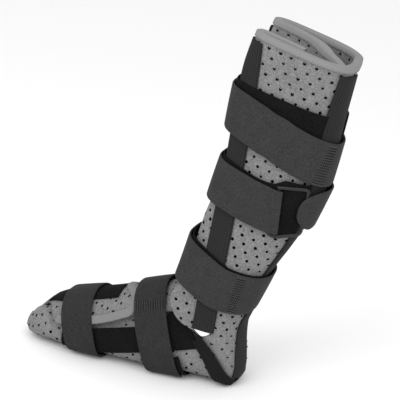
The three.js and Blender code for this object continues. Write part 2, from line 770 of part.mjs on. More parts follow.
// Straps and their keepers
// A strap's middle line round the leg: round is 0 at the back, 1 at the front by way of the
// near side and 2 at the back again; height is a share of the leg above the ankle
const UNDER_KEEPER = SEWN + WEBBING + 2 * GAP;
const UNDER_STRAP = UNDER_KEEPER + KEEPER + SLACK;
const TOP_STRAP_ROWS = [
  { round: 0, height: 0.545 },
  { round: 1, height: 0.705 },
  { round: 2, height: 0.545 },
];
const TOP_KEEPER_ROWS = [
  { round: 0, height: 0.605 },
  { round: 1, height: 0.725 },
  { round: 2, height: 0.605 },
];
const CALF_STRAP_ROWS = [
  { round: 0, height: 0.352 },
  { round: 0.3, height: 0.336 },
  { round: 0.55, height: 0.36 },
  { round: 1, height: 0.415 },
  { round: 2, height: 0.352 },
];
const CALF_KEEPER_ROWS = [
  { round: 0, height: 0.345 },
  { round: 0.55, height: 0.365 },
  { round: 1, height: 0.43 },
  { round: 2, height: 0.345 },
];
const ANKLE_STRAP_ROWS = [
  { round: 0, height: -0.055 },
  { round: 0.45, height: -0.01 },
  { round: 1, height: 0.08 },
  { round: 1.55, height: -0.015 },
  { round: 2, height: -0.055 },
];
const ANKLE_KEEPER_ROWS = [
  { round: 0, height: -0.03 },
  { round: 0.45, height: 0.005 },
  { round: 1, height: 0.09 },
  { round: 1.55, height: 0.005 },
  { round: 2, height: -0.03 },
];

function roundTheLeg(section, degrees) {
  const share = 1 - Math.min(1, Math.max(0, outline(section, degrees)[0] / section.length));
  return Math.sin(degrees * DEG) >= 0 ? share : 2 - share;
}

function strapLevel(rows, degrees) {
  let level = 3;
  for (let i = 0; i < 6; i += 1) {
    const round = roundTheLeg(sectionAt(legSections, level), degrees);
    const z = lerp(ANKLE_HEIGHT, LEG_HEIGHT, tableValue(rows, 'round', 'height', round));
    level = levelWhere(legSections, degrees, 'z', z);
  }
  return level;
}

// Angles round the leg at which a band bends: the foam's own, with more over the open front
const BAND_ANGLES = (() => {
  const columns = 2 * PANEL_COLUMNS;
  const front = 8;
  const angles = [];
  for (let i = 0; i <= columns / 2; i += 1) {
    angles.push((i * 2 * PANEL_EDGE) / columns);
  }
  for (let i = 1; i <= front; i += 1) {
    angles.push(PANEL_EDGE + (i * (360 - 2 * PANEL_EDGE)) / front);
  }
  for (let i = columns / 2 - 1; i >= 1; i -= 1) {
    angles.push(360 - (i * 2 * PANEL_EDGE) / columns);
  }
  return angles;
})();
const FOLD_CLEAR = 1.1; // a band's further clearance over the folds of the flaps

function legBand({ rows, out, width, thickness, from = 0, to = 360, loop = true }) {
  const turns = [...BAND_ANGLES, ...BAND_ANGLES.map((a) => a + 360)];
  const inside = turns.filter((a) => a > from + 2 && a < to - 2);
  const angles = loop ? [...BAND_ANGLES, 360] : [from, ...inside, to];
  const steps = angles.length - 1;
  const angle = (t) => {
    const at = Math.min(steps, Math.max(0, t * steps));
    const i = Math.min(steps - 1, Math.floor(at));
    return lerp(angles[i], angles[i + 1], at - i);
  };
  return bandSolid({
    sections: legSections,
    angle,
    level: (t) => strapLevel(rows, angle(t)),
    out: (t) => out + FOLD_CLEAR * smooth(1 - Math.abs(Math.abs(angle(t) - 180) - 38) / 34),
    width,
    thickness,
    steps,
    loop,
  });
}

// A keeper runs from one side of the back webbing round the front to the other side
function keeper(rows) {
  const level = strapLevel(rows, 0);
  const section = sectionAt(legSections, level);
  const shift = tableValue(BACK_SHIFT, 'level', 'shift', level);
  const clear = WEBBING_WIDTH / 2 + 6 * GAP;
  return legBand({
    rows,
    from: angleAlong(section, 0, shift + clear),
    to: 360 + angleAlong(section, 0, shift - clear),
    out: UNDER_KEEPER,
    width: KEEPER_WIDTH,
    thickness: KEEPER,
    loop: false,
  });
}

// The calf strap's ring, and the strap's rounded end beyond it
const CALF_RING_BACK = 36; // back edge of the ring, round the near side from the middle of the back
const CALF_RING_LENGTH = RING_OPENING / 6 + 2 * RING_WIRE;
const CALF_RING_TURN = 30; // degrees ahead of the ring over which it takes the strap's slope
const TAB_ROUND = 18; // length of the strap's rounded end

function calfStrap() {
  const section = sectionAt(legSections, strapLevel(CALF_STRAP_ROWS, 50));
  const from = angleAlong(section, 0, CALF_RING_BACK + CALF_RING_LENGTH + 4 * GAP);
  const to = 360 + angleAlong(section, 0, CALF_RING_BACK - 2 * GAP);
  const girth = 2.6 * section.length;
  return legBand({
    rows: CALF_STRAP_ROWS,
    from,
    to,
    out: UNDER_STRAP,
    width: (t) => {
      const into = Math.min(1, Math.max(0, 1 - ((1 - t) * girth) / TAB_ROUND));
      return STRAP_WIDTH * Math.sqrt(1 - 0.8 * into * into);
    },
    thickness: STRAP,
    loop: false,
  });
}

function calfRing() {
  const middle = CALF_RING_BACK + CALF_RING_LENGTH / 2;
  const angle = angleAlong(sectionAt(legSections, strapLevel(CALF_STRAP_ROWS, 50)), 0, middle);
  const level = strapLevel(CALF_STRAP_ROWS, angle);
  const out = UNDER_STRAP + 2 * GAP;
  const at = offOutline(sectionAt(legSections, level), angle, out);
  const above = offOutline(sectionAt(legSections, level - 0.15), angle, out);
  const ahead = angle + CALF_RING_TURN;
  const beside = offOutline(sectionAt(legSections, strapLevel(CALF_STRAP_ROWS, ahead)), ahead, out);
  const along = beside.sub(at).normalize();
  const up = above.sub(at);
  up.addScaledVector(along, -up.dot(along)).normalize();
  const outward = along.clone().cross(up).normalize();
  if (outward.y > 0) {
    outward.negate();
    along.negate();
  }
  const halfWidth = CALF_RING_LENGTH / 2;
  const halfHeight = RING_OPENING / 2 + RING_WIRE;
  const frame = new THREE.Shape([
    new THREE.Vector2(-halfWidth, -halfHeight),
    new THREE.Vector2(halfWidth, -halfHeight),
    new THREE.Vector2(halfWidth, halfHeight),
    new THREE.Vector2(-halfWidth, halfHeight),
  ]);
  const holeWidth = halfWidth - RING_WIRE;
  const holeHeight = halfHeight - RING_WIRE;
  frame.holes.push(new THREE.Path([
    new THREE.Vector2(-holeWidth, -holeHeight),
    new THREE.Vector2(-holeWidth, holeHeight),
    new THREE.Vector2(holeWidth, holeHeight),
    new THREE.Vector2(holeWidth, -holeHeight),
  ]));
  const ring = new THREE.ExtrudeGeometry(frame, { depth: RING_WIRE * 0.7, bevelEnabled: false });
  ring.applyMatrix4(new THREE.Matrix4().makeBasis(along, up, outward).setPosition(at));
  return ring;
}

// Straps round the foot. sole and top: x of a strap's middle under the sole and over the top
const TOE_STRAP_LINE = { sole: -102, top: -124.5 };
const INSTEP_STRAP_LINE = { sole: -1, top: -33 };
const INSTEP_KEEPER_LINE = { sole: 6, top: -33 };
const OVER_FLAP = LAP_LIFT + SEWN + BINDING + 2 * GAP;
const OVER_BAND = SEWN + WEBBING + 2 * GAP;
const TOE_STRAP_OUT = [
  // clearance from the foam round the foot: 0 is the top, 90 the near side, 180 the sole
  { angle: 0, out: OVER_BAND },
  { angle: 40, out: OVER_FLAP },
  { angle: 95, out: OVER_FLAP },
  { angle: 135, out: OVER_BAND },
  { angle: 160, out: SOLE_Z - STRAP },
  { angle: 200, out: SOLE_Z - STRAP },
  { angle: 225, out: OVER_BAND },
  { angle: 360, out: OVER_BAND },
];
const KEEPER_OUT = [
  { angle: 90, out: OVER_BAND },
  { angle: 135, out: OVER_BAND },
  { angle: 160, out: GAP },
  { angle: 200, out: GAP },
  { angle: 225, out: OVER_BAND },
  { angle: 270, out: OVER_BAND },
];
const OVER_KEEPER = OVER_BAND + KEEPER + SLACK;
const INSTEP_STRAP_OUT = [
  { angle: -200, out: SOLE_Z - STRAP },
  { angle: -160, out: SOLE_Z - STRAP },
  { angle: -148, out: OVER_KEEPER * 0.85 },
  { angle: -135, out: OVER_KEEPER + SLACK / 2 },
  { angle: -90, out: OVER_KEEPER + SLACK / 2 },
  { angle: -80, out: OVER_BAND },
  { angle: 0, out: OVER_BAND },
  { angle: 40, out: OVER_FLAP },
  { angle: 85, out: OVER_FLAP },
  { angle: 99, out: OVER_KEEPER },
  { angle: 135, out: OVER_KEEPER },
  { angle: 148, out: OVER_KEEPER * 0.85 },
  { angle: 160, out: SOLE_Z - STRAP },
  { angle: 200, out: SOLE_Z - STRAP },
];

function footBandRound({ line, clearance, width, thickness, from, to, steps, loop = false }) {
  const angle = (t) => lerp(from, to, t);
  const turned = (a) => (loop ? ((a % 360) + 360) % 360 : a);
  const level = (t) => {
    let found = 4;
    for (let i = 0; i < 6; i += 1) {
      const section = sectionAt(footSections, found);
      const rise = outline(section, angle(t))[0] / section.length;
      found = levelWhere(footSections, angle(t), 'x', lerp(line.sole, line.top, rise));
    }
    return found;
  };
  return bandSolid({
    sections: footSections,
    angle,
    level,
    out: (t) => tableValue(clearance, 'angle', 'out', turned(angle(t))),
    width,
    thickness,
    steps,
    loop,
  });
}

// The loop strip on top of the foot flap
function footTopStrip() {
  const across = 4;
  const from = 3.95;
  const to = 6.85;
  const rows = 9;
  return gridSolid({
    rows,
    columns: across,
    point: (r, c, skin) => {
      const level = lerp(from, to, r / rows);
      const section = sectionAt(footSections, level);
      const width = KEEPER_WIDTH * (1 - 0.2 * smooth((level - 6) / 1));
      const angle = angleAlong(section, 0, lerp(-width / 2, width / 2, c / across));
      const edge = angleAtHeight(section, section.edge);
      const lift = LAP_LIFT * smooth(angle / edge);
      return offOutline(section, angle, lift + SEWN + (skin === 0 ? KEEPER : 0));
    },
  });
}

const boot = new THREE.Group();
function piece(name, geometry, colour, roughness = 0.9, metalness = 0) {
  const material = new THREE.MeshStandardMaterial({ color: colour, roughness, metalness });
  const mesh = new THREE.Mesh(geometry, material);
  mesh.name = name;
  boot.add(mesh);
  return mesh;
}
piece('leg_wrap', legWrap(), 0x8a8a8a);
piece('foot_wrap', footWrap(), 0x8a8a8a);
piece('rim_binding', rimBinding(), 0x979797);
piece('foot_binding', footBinding(), 0x979797);
piece('side_stay_near', sideStay(1), 0x303030);
piece('side_stay_far', sideStay(-1), 0x303030);
piece('back_webbing', backWebbing(), 0x303030);
piece('heel_band', heelBand(), 0x404040);
piece('foot_band_near', footBand(1), 0x202020);
piece('foot_band_far', footBand(-1), 0x202020);
piece('stay_tip_near', stayTip(1), 0xdcdcdc, 0.5);
piece('stay_tip_far', stayTip(-1), 0xdcdcdc, 0.5);
piece('foot_top_strip', footTopStrip(), 0x202020);
piece('top_keeper', keeper(TOP_KEEPER_ROWS), 0x202020);
piece('top_strap', legBand({
  rows: TOP_STRAP_ROWS, out: UNDER_STRAP, width: STRAP_WIDTH, thickness: STRAP,
}), 0x484848);
piece('calf_keeper', keeper(CALF_KEEPER_ROWS), 0x202020);
piece('calf_strap', calfStrap(), 0x484848);
piece('calf_ring', calfRing(), 0x1c1c1c, 0.4);
piece('ankle_keeper', keeper(ANKLE_KEEPER_ROWS), 0x202020);
piece('ankle_strap', legBand({
  rows: ANKLE_STRAP_ROWS, out: UNDER_STRAP + SLACK / 2, width: STRAP_WIDTH, thickness: STRAP,
}), 0x484848);
piece('toe_strap', footBandRound({
  line: TOE_STRAP_LINE, clearance: TOE_STRAP_OUT, width: FOOT_STRAP_WIDTH, thickness: STRAP,
  from: 0, to: 360, steps: 40, loop: true,
}), 0x383838);
piece('instep_keeper', footBandRound({
  line: INSTEP_KEEPER_LINE, clearance: KEEPER_OUT, width: FOOT_STRAP_WIDTH, thickness: KEEPER,
  from: 99, to: 261, steps: 18,
}), 0x202020);
piece('instep_strap', footBandRound({
  line: INSTEP_STRAP_LINE, clearance: INSTEP_STRAP_OUT, width: FOOT_STRAP_WIDTH, thickness: STRAP,
  from: -171, to: 162, steps: 37,
}), 0x383838);
// The origin sits under the middle of the boot's box, on the floor
const box = new THREE.Box3().setFromObject(boot);
const middle = box.getCenter(new THREE.Vector3());
for (const mesh of boot.children) {
  mesh.geometry.translate(-middle.x, -middle.y, -box.min.z);
}

export default boot;
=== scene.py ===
"""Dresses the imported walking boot: perforated foam wraps, webbing, straps, ring and stitching."""
from __future__ import annotations

import logging
import math
from dataclasses import dataclass, field
from enum import Enum
from typing import Callable, Sequence

import bpy
import numpy as np
from mathutils import Matrix, Vector


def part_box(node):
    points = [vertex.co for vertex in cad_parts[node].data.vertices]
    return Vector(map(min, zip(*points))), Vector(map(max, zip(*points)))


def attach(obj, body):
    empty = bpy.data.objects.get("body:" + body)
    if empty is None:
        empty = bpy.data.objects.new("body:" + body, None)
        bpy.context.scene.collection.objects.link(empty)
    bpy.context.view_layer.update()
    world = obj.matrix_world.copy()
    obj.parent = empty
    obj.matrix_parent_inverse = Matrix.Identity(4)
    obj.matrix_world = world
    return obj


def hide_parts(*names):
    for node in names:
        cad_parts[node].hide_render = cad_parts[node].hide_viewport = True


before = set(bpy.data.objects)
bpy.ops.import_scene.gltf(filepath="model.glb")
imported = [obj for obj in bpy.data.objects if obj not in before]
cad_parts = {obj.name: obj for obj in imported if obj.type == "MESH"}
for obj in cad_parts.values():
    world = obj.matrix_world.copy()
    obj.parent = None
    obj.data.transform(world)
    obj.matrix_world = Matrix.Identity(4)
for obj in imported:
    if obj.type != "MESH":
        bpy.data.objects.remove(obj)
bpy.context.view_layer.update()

LOG = logging.getLogger("walking_boot")
MM = 0.001
ROOT = "root"

# The boot's sections, in millimetres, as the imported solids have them
LEG_HEIGHT = 424.0
ANKLE_HEIGHT = 130.0
LEG_LENGTH = 116.0
LEG_WIDTH = 72.0
HEEL_LENGTH = 94.0
HEEL_WIDTH = 88.0
ANKLE_X = 40.0
FOOT_LENGTH = 275.0
FOOT_WIDTH = 88.0
INSTEP_HEIGHT = 107.0
FOAM = 6.5
FOLD_RADIUS = 5.8
NEAR_FLAP = 46.0
FAR_FLAP = 112.0
FLAP_LAP = 14.0
LAP_LIFT = 3.6
GAP = 0.35
SEWN = 0.75
SLACK = 1.4
WEBBING = 1.9
WEBBING_WIDTH = 25.4
STRAP = 2.2
STRAP_WIDTH = 50.8
KEEPER = 1.5
KEEPER_WIDTH = 50.0
FOOT_BAND_WIDTH = 31.0
BINDING = 1.2
BINDING_WIDTH = 10.0
RING_WIRE = 3.6
RING_OPENING = 54.0
TIP_THICKNESS = 1.2
SOLE_Z = STRAP + KEEPER + 3 * GAP
HEEL_Z = WEBBING + SEWN
LEG_LEAN = 0.038
FOOT_STRAP_WIDTH = 40.0
PANEL_EDGE = 146.0
# level, and how far the back webbing's middle lies to the near side or how wide it is there
BACK_SHIFT = ((0, 18.5), (2, 14), (4, 2), (6, 2), (8, 4), (11, 8.5), (13, 8.5))
BACK_WIDTH = ((0, 36), (2, 36), (4, 34), (6, 30), (8, 27.5), (11, 30), (13, 30))

# height, front, back, drop, half, nose, tail
LEG_ROWS = (
    (1.0, 0.05, 0.99, 0.205, 0.64, 5.0, 3.0),
    (0.83, -0.045, 0.947, 0.185, 0.565, 4.8, 2.6),
    (0.62, -0.09, 0.9, 0.17, 0.51, 4.4, 2.5),
    (0.43, -0.125, 0.825, 0.165, 0.505, 3.8, 2.5),
    (0.255, -0.24, 0.635, 0.165, 0.52, 3.4, 2.5),
    (0.125, -0.3, 0.475, 0.16, 0.56, 3.2, 2.5),
)
# front x and z, back x and z, half, middle, nose, tail, edge
HEEL_ROWS = (
    (-0.435, 1.0, 0.455, 0.87, 0.48, 0.45, 4.0, 2.6, 132.0),
    (-0.535, 0.82, 0.43, 0.72, 0.5, 0.4, 8.0, 2.6, 118.0),
    (-0.47, 0.67, 0.385, 0.6, 0.5, 0.3, 8.0, 2.6, 116.0),
    (-0.33, 0.58, 0.385, 0.52, 0.5, 0.22, 8.0, 2.6, 114.0),
    (-0.14, 0.535, 0.4, 0.42, 0.49, 0.14, 8.0, 2.6, 110.0),
    (-0.1, 0.51, 0.43, 0.3, 0.465, 0.1, 8.0, 2.6, 106.0),
    (-0.095, 0.495, 0.45, 0.17, 0.44, 0.1, 8.0, 2.7, 104.0),
    (-0.093, 0.48, 0.435, 0.06, 0.41, 0.1, 8.0, 2.8, 102.0),
    (-0.092, 0.47, 0.37, 0.0, 0.4, 0.1, 8.0, 2.9, 100.0),
)
# sole, top, low, high, half, round, crown, edge
FOOT_ROWS = (
    (0.0, 0.293, 0.0, 1.0, 0.4, 2.9, 2.6, 0.76),
    (0.12, 0.335, 0.0, 0.985, 0.43, 3.2, 2.3, 0.75),
    (0.25, 0.38, 0.0, 0.945, 0.46, 3.4, 2.2, 0.73),
    (0.39, 0.45, 0.0, 0.875, 0.485, 3.6, 2.1, 0.7),
    (0.54, 0.56, 0.0, 0.76, 0.485, 3.6, 2.1, 0.6),
    (0.69, 0.69, 0.0, 0.645, 0.47, 3.6, 2.1, 0.52),
    (0.8, 0.785, 0.0, 0.565, 0.455, 3.4, 2.2, 0.54),
    (0.865, 0.845, 0.0, 0.49, 0.43, 3.0, 2.2, 0.88),
    (0.915, 0.895, 0.0, 0.41, 0.385, 2.8, 2.2, 0.93),
    (0.95, 0.93, 0.005, 0.325, 0.32, 2.4, 2.2, 0.94),
    (0.97, 0.955, 0.03, 0.24, 0.22, 2.2, 2.2, 0.95),
)
# Added to or taken from some distances round an outline, in millimetres
NUDGE = 1e-6
KEYS = ("fx", "fz", "bx", "bz", "half", "middle", "nose", "tail", "edge")


def smooth(t: np.ndarray | float) -> np.ndarray:
    """Returns t eased between 0 and 1."""
    s = np.clip(t, 0.0, 1.0)
    return s * s * (3 - 2 * s)


def power(v: np.ndarray, n: np.ndarray | float) -> np.ndarray:
    """Returns v to a power, keeping its sign."""
    return np.sign(v) * np.abs(v) ** n


def wobble(x: np.ndarray, y: np.ndarray, seed: float) -> np.ndarray:
    """Returns a soft uneven field between about -1 and 1.

    Args:
        x: first coordinate of each point.
        y: second coordinate of each point.
        seed: which field.

    Returns:
        One value for each point.
    """
    a = np.sin(1.7 * x + 0.9 * y + seed) + np.sin(-1.1 * x + 1.9 * y + 2.3 * seed)
    b = np.sin(2.9 * x - 2.1 * y + 1.7 * seed) + np.sin(0.6 * x + 3.3 * y + 0.4 * seed)
    return 0.3 * a + 0.2 * b


def square_frames(along: np.ndarray, up: np.ndarray, away: np.ndarray) -> tuple[np.ndarray, np.ndarray]:
    """Makes a band's directions square to its path.

    Args:
        along: steps along the path.
        up: rough directions across the band.
        away: rough directions away from the boot.

    Returns:
        Unit directions across the band, then away from the boot.
    """
    along = along / np.linalg.norm(along, axis=1)[:, None]
    up = up - along * np.einsum("ij,ij->i", up, along)[:, None]
    up = up / np.linalg.norm(up, axis=1)[:, None]
    side = np.cross(along, up)
    return up, side * np.sign(np.einsum("ij,ij->i", side, away))[:, None]


def run_along(line: np.ndarray) -> np.ndarray:
    """Returns the distance run at each point of a line."""
    return np.concatenate([[0], np.cumsum(np.linalg.norm(np.diff(line, axis=0), axis=1))])


class Sections:
    """The boot's cross sections from one end to the other, with smooth values between them."""

    def __init__(self, rows: np.ndarray) -> None:
        """Keeps the table.

        Args:
            rows: one row of KEYS values for each level.
        """
        self.rows = rows
        self.last = len(rows) - 1

    def at(self, level: np.ndarray | float) -> dict[str, np.ndarray]:
        """Returns the section values at each level.

        Args:
            level: where along the table, a whole number being one of its rows.

        Returns:
            Each of KEYS, with the section's length and direction, by name.
        """
        lv = np.clip(np.asarray(level, float), 0, self.last)
        i = np.minimum(self.last - 1, np.floor(lv).astype(int))
        s = (lv - i)[..., None]
        p = [self.rows[np.clip(i + k, 0, self.last)] for k in (-1, 0, 1, 2)]
        a, b, d = (p[2] - p[0]) / 2, (p[3] - p[1]) / 2, p[1] - p[2]
        v = p[1] + s * (a + s * (-3 * d - 2 * a - b + s * (2 * d + a + b)))
        out = {k: v[..., j] for j, k in enumerate(KEYS)}
        dx, dz = out["bx"] - out["fx"], out["bz"] - out["fz"]
        out["length"] = np.hypot(dx, dz)
        out["ax"], out["az"] = dx / out["length"], dz / out["length"]
        return out

    @staticmethod
    def place(sec: dict[str, np.ndarray], q: np.ndarray, y: np.ndarray) -> np.ndarray:
        """Returns points in the sections' planes, in millimetres."""
        q, y = np.broadcast_arrays(q, y)
        return np.stack([sec["fx"] + sec["ax"] * q, y + 0 * sec["fx"], sec["fz"] + sec["az"] * q], -1)

    @staticmethod
    def outline(sec: dict[str, np.ndarray], deg: np.ndarray) -> tuple[np.ndarray, np.ndarray]:
        """Returns the outline's in-plane coordinates at each angle.

        Args:
            sec: section values.
            deg: angles round the section, 0 at its second end and 90 at the near side.

        Returns:
            Distance from the section's first end, and y.
        """
        a = np.radians(deg)
        c, s = np.cos(a), np.sin(a)
        centre = sec["middle"] * sec["length"]
        n = np.where(c > 0, sec["tail"], sec["nose"])
        reach = np.where(c > 0, sec["length"] - centre, centre)
        return centre + reach * power(c, 2 / n), -sec["half"] * power(s, 2 / n)

    @classmethod
    def heading(cls, sec: dict[str, np.ndarray], deg: np.ndarray) -> tuple[np.ndarray, np.ndarray]:
        """Returns the outline's direction at each angle.

        Args:
            sec: section values.
            deg: angles round the section.

        Returns:
            The unit direction, as its two in-plane parts.
        """
        q0, y0 = cls.outline(sec, np.asarray(deg) - 0.6)
        q1, y1 = cls.outline(sec, np.asarray(deg) + 0.6)
        size = np.maximum(np.hypot(q1 - q0, y1 - y0), 1e-9)
        return (q1 - q0) / size, (y1 - y0) / size

    def off(self, level: np.ndarray, deg: np.ndarray, out: np.ndarray | float = 0.0) -> np.ndarray:
        """Returns points off the outline, out being away from the boot.

        Args:
            level: where along the table.
            deg: angles round the section.
            out: distance away from the boot, in millimetres.

        Returns:
            The points, in millimetres.
        """
        level, deg = np.broadcast_arrays(np.asarray(level, float), np.asarray(deg, float))
        sec = self.at(level)
        q, y = self.outline(sec, deg)
        hq, hy = self.heading(sec, deg)
        return self.place(sec, q - hy * out, y + hq * out)

    def angle_along(self, level: float, start: float, distance: float) -> float:
        """Returns the angle some way round the outline from another angle.

        Args:
            level: where along the table.
            start: the angle that the distance starts from.
            distance: way round the outline, in millimetres; below zero it runs back.

        Returns:
            The angle, in degrees.
        """
        turn = math.copysign(0.5, distance)
        deg = start + turn * np.arange(0, 1500)
        q, y = self.outline(self.at(np.full(deg.shape, level)), deg)
        run = np.concatenate([[0], np.cumsum(np.hypot(np.diff(q), np.diff(y)))])
        return float(np.interp(abs(distance), run, deg))

    def level_where(self, deg: np.ndarray, axis: int, value: np.ndarray, out: float = 0.0) -> np.ndarray:
        """Returns the levels at which the outline reaches a falling coordinate.

        Args:
            deg: angles round the section.
            axis: 0 for x, 2 for z.
            value: the coordinate to reach, in millimetres.
            out: distance off the outline.

        Returns:
            One level for each angle.
        """
        deg, value = np.broadcast_arrays(np.asarray(deg, float), np.asarray(value, float))
        low, high = np.zeros(deg.shape), np.full(deg.shape, float(self.last))
        for _ in range(26):
            mid = (low + high) / 2
            above = self.off(mid, deg, out)[..., axis] > value
            low, high = np.where(above, mid, low), np.where(above, high, mid)
        return (low + high) / 2


def leg_sections() -> Sections:
    """Returns the sections from the rim down to the heel seam.

    Returns:
        The sections, in millimetres.
    """
    rows = []

    def leaned(fx: float, fz: float, bx: float, bz: float, share: float) -> list[float]:
        """Returns a section's ends turned with the leg's lean."""
        lean = share * LEG_LEAN
        return [fx + lean * fz, fz - lean * (fx - ANKLE_X), bx + lean * bz, bz - lean * (bx - ANKLE_X)]

    for height, front, back, drop, half, nose, tail in LEG_ROWS:
        fz = ANKLE_HEIGHT + (LEG_HEIGHT - ANKLE_HEIGHT) * height
        ends = leaned(
            ANKLE_X + front * LEG_LENGTH, fz, ANKLE_X + back * LEG_LENGTH, fz - drop * LEG_LENGTH, 1)
        rows.append(ends + [half * LEG_WIDTH, 0.5, nose, tail, PANEL_EDGE])
    for i, (fx, fz, bx, bz, half, middle, nose, tail, edge) in enumerate(HEEL_ROWS):
        share = 1 - i / (len(HEEL_ROWS) - 1)
        ends = leaned(
            ANKLE_X + fx * HEEL_LENGTH, fz * ANKLE_HEIGHT,
            ANKLE_X + bx * HEEL_LENGTH, bz * ANKLE_HEIGHT + HEEL_Z * (1 - bz), share,
        )
        rows.append(ends + [half * HEEL_WIDTH, middle, nose, tail, edge])
    return Sections(np.array(rows))


def foot_sections(seam_x: float) -> Sections:
    """Returns the sections from the heel seam to the toe.

    Args:
        seam_x: x of the back end of the leg's last section.

    Returns:
        The sections, in millimetres.
    """
    rows = []
    start = seam_x - 1.2 * GAP
    for sole, top, low, high, half, nose, tail, edge in FOOT_ROWS:
        floor = SOLE_Z if sole > 0 else HEEL_Z
        rows.append([
            start - sole * FOOT_LENGTH, floor + low * INSTEP_HEIGHT,
            start - top * FOOT_LENGTH, SOLE_Z + high * (INSTEP_HEIGHT - SOLE_Z),
            half * FOOT_WIDTH, 0.32, nose, tail, edge,
        ])
    return Sections(np.array(rows))


LEG = leg_sections()
FOOT = foot_sections(float(LEG.rows[-1][2]))
SEAM_ROW = LEG.last
TOE_ROW = FOOT.last
RIM_LEVELS_PER_MM = 1 / ((LEG_ROWS[0][0] - LEG_ROWS[1][0]) * (LEG_HEIGHT - ANKLE_HEIGHT))
LEG_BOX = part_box("leg_wrap")
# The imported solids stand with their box's middle over the origin
CENTRE_X = LEG_BOX[1].x / MM - float(LEG.off(np.linspace(0, SEAM_ROW, 400), np.zeros(400), 0.0)[:, 0].max())


def metres(points: np.ndarray) -> np.ndarray:
    """Returns points in the row frame, in metres."""
    return (np.asarray(points) + np.array([CENTRE_X, 0.0, 0.0])) * MM


class Slot(Enum):
    """The record's material slots."""

    FOAM = "foam"
    BINDING = "binding"
    WEBBING = "webbing"
    LOOP = "loop"
    STRAP = "strap"
    RING = "ring"
    STAY = "stay"


SocketValue = bpy.types.NodeSocket | float


# Shader groups
def new_group(name: str, inputs: dict[str, tuple[str, float | tuple[float, ...]]],
              outputs: dict[str, str]) -> bpy.types.NodeTree:
    """Makes an empty shader node group.

    Args:
        name: the group's name.
        inputs: socket name to its type and default.
        outputs: socket name to its type.

    Returns:
        The group, with its input and output nodes named In and Out.
    """
    tree = bpy.data.node_groups.new(name, "ShaderNodeTree")
    for key, (kind, default) in inputs.items():
        socket = tree.interface.new_socket(name=key, in_out="INPUT", socket_type=kind)
        if default is not None:
            socket.default_value = default
    for key, kind in outputs.items():
        tree.interface.new_socket(name=key, in_out="OUTPUT", socket_type=kind)
    tree.nodes.new("NodeGroupInput").name = "In"
    tree.nodes.new("NodeGroupOutput").name = "Out"
    return tree


class Graph:
    """Short ways of adding nodes to a tree."""

    def __init__(self, tree: bpy.types.NodeTree) -> None:
        """Keeps the tree."""
        self.tree = tree

    def add(self, kind: str, inputs: dict | None = None, **settings: object) -> bpy.types.Node:
        """Adds a node.

        Args:
            kind: the node's type.
            inputs: socket name or index to a value or another socket.
            **settings: the node's own properties.

        Returns:
            The node.
        """
        node = self.tree.nodes.new(kind)
        for key, value in settings.items():
            setattr(node, key, value)
        for key, value in (inputs or {}).items():
            if isinstance(value, bpy.types.NodeSocket):
                self.tree.links.new(value, node.inputs[key])
            else:
                node.inputs[key].default_value = value
        return node

    def math(self, operation: str, a: SocketValue, b: SocketValue = 0.0,
             c: SocketValue = 0.0) -> bpy.types.NodeSocket:
        """Adds a Math node and returns its value."""
        return self.add("ShaderNodeMath", {0: a, 1: b, 2: c}, operation=operation).outputs[0]

    def mix(self, factor: SocketValue, a: SocketValue, b: SocketValue) -> bpy.types.NodeSocket:
        """Mixes two colours and returns the result."""
        return self.add("ShaderNodeMix", {0: factor, 6: a, 7: b}, data_type="RGBA").outputs[2]

    def link(self, a: bpy.types.NodeSocket, b: bpy.types.NodeSocket) -> None:
        """Links two sockets."""
        self.tree.links.new(a, b)


def grey(value: float, warm: float = 0.0) -> tuple[float, float, float, float]:
    """Returns a near-neutral linear colour; warm tints it to red, or to blue below zero."""
    return (value * (1 + warm), value, value * (1 - warm), 1.0)


def cloth_tint(value: float) -> tuple[float, float, float, float]:
    """Returns a charcoal linear colour with the straps' faint violet cast."""
    return (value * 1.02, value * 0.985, value * 1.02, 1.0)


def fleece_group() -> bpy.types.NodeTree:
    """Brushed cloth: short uneven fibre that mottles its colour and roughens its light.

    Returns:
        The shader group.
    """
    tree = new_group(
        "brushed_fibre",
        {"Vector": ("NodeSocketVector", None), "Dark": ("NodeSocketColor", grey(0.2)),
         "Light": ("NodeSocketColor", grey(0.3)), "Scale": ("NodeSocketFloat", 900.0),
         "Patch": ("NodeSocketFloat", 45.0)},
        {"Color": "NodeSocketColor", "Height": "NodeSocketFloat"},
    )
    g = Graph(tree)
    source, out = tree.nodes["In"], tree.nodes["Out"]
    fine = g.add("ShaderNodeTexNoise", {"Vector": source.outputs["Vector"], "Scale": source.outputs["Scale"],
                                        "Detail": 3.0, "Roughness": 0.6})
    patch = g.add("ShaderNodeTexNoise", {"Vector": source.outputs["Vector"], "Scale": source.outputs["Patch"],
                                         "Detail": 2.0})
    broad = g.math("MULTIPLY", patch.outputs["Fac"], 0.15)
    blend = g.math("ADD", g.math("MULTIPLY", fine.outputs["Fac"], 0.65), broad)
    spread = g.math("MULTIPLY_ADD", blend, 2.6, -0.54)
    mask = g.add("ShaderNodeClamp", {"Value": spread}).outputs[0]
    g.link(g.mix(mask, source.outputs["Dark"], source.outputs["Light"]), out.inputs["Color"])
    g.link(fine.outputs["Fac"], out.inputs["Height"])
    return tree


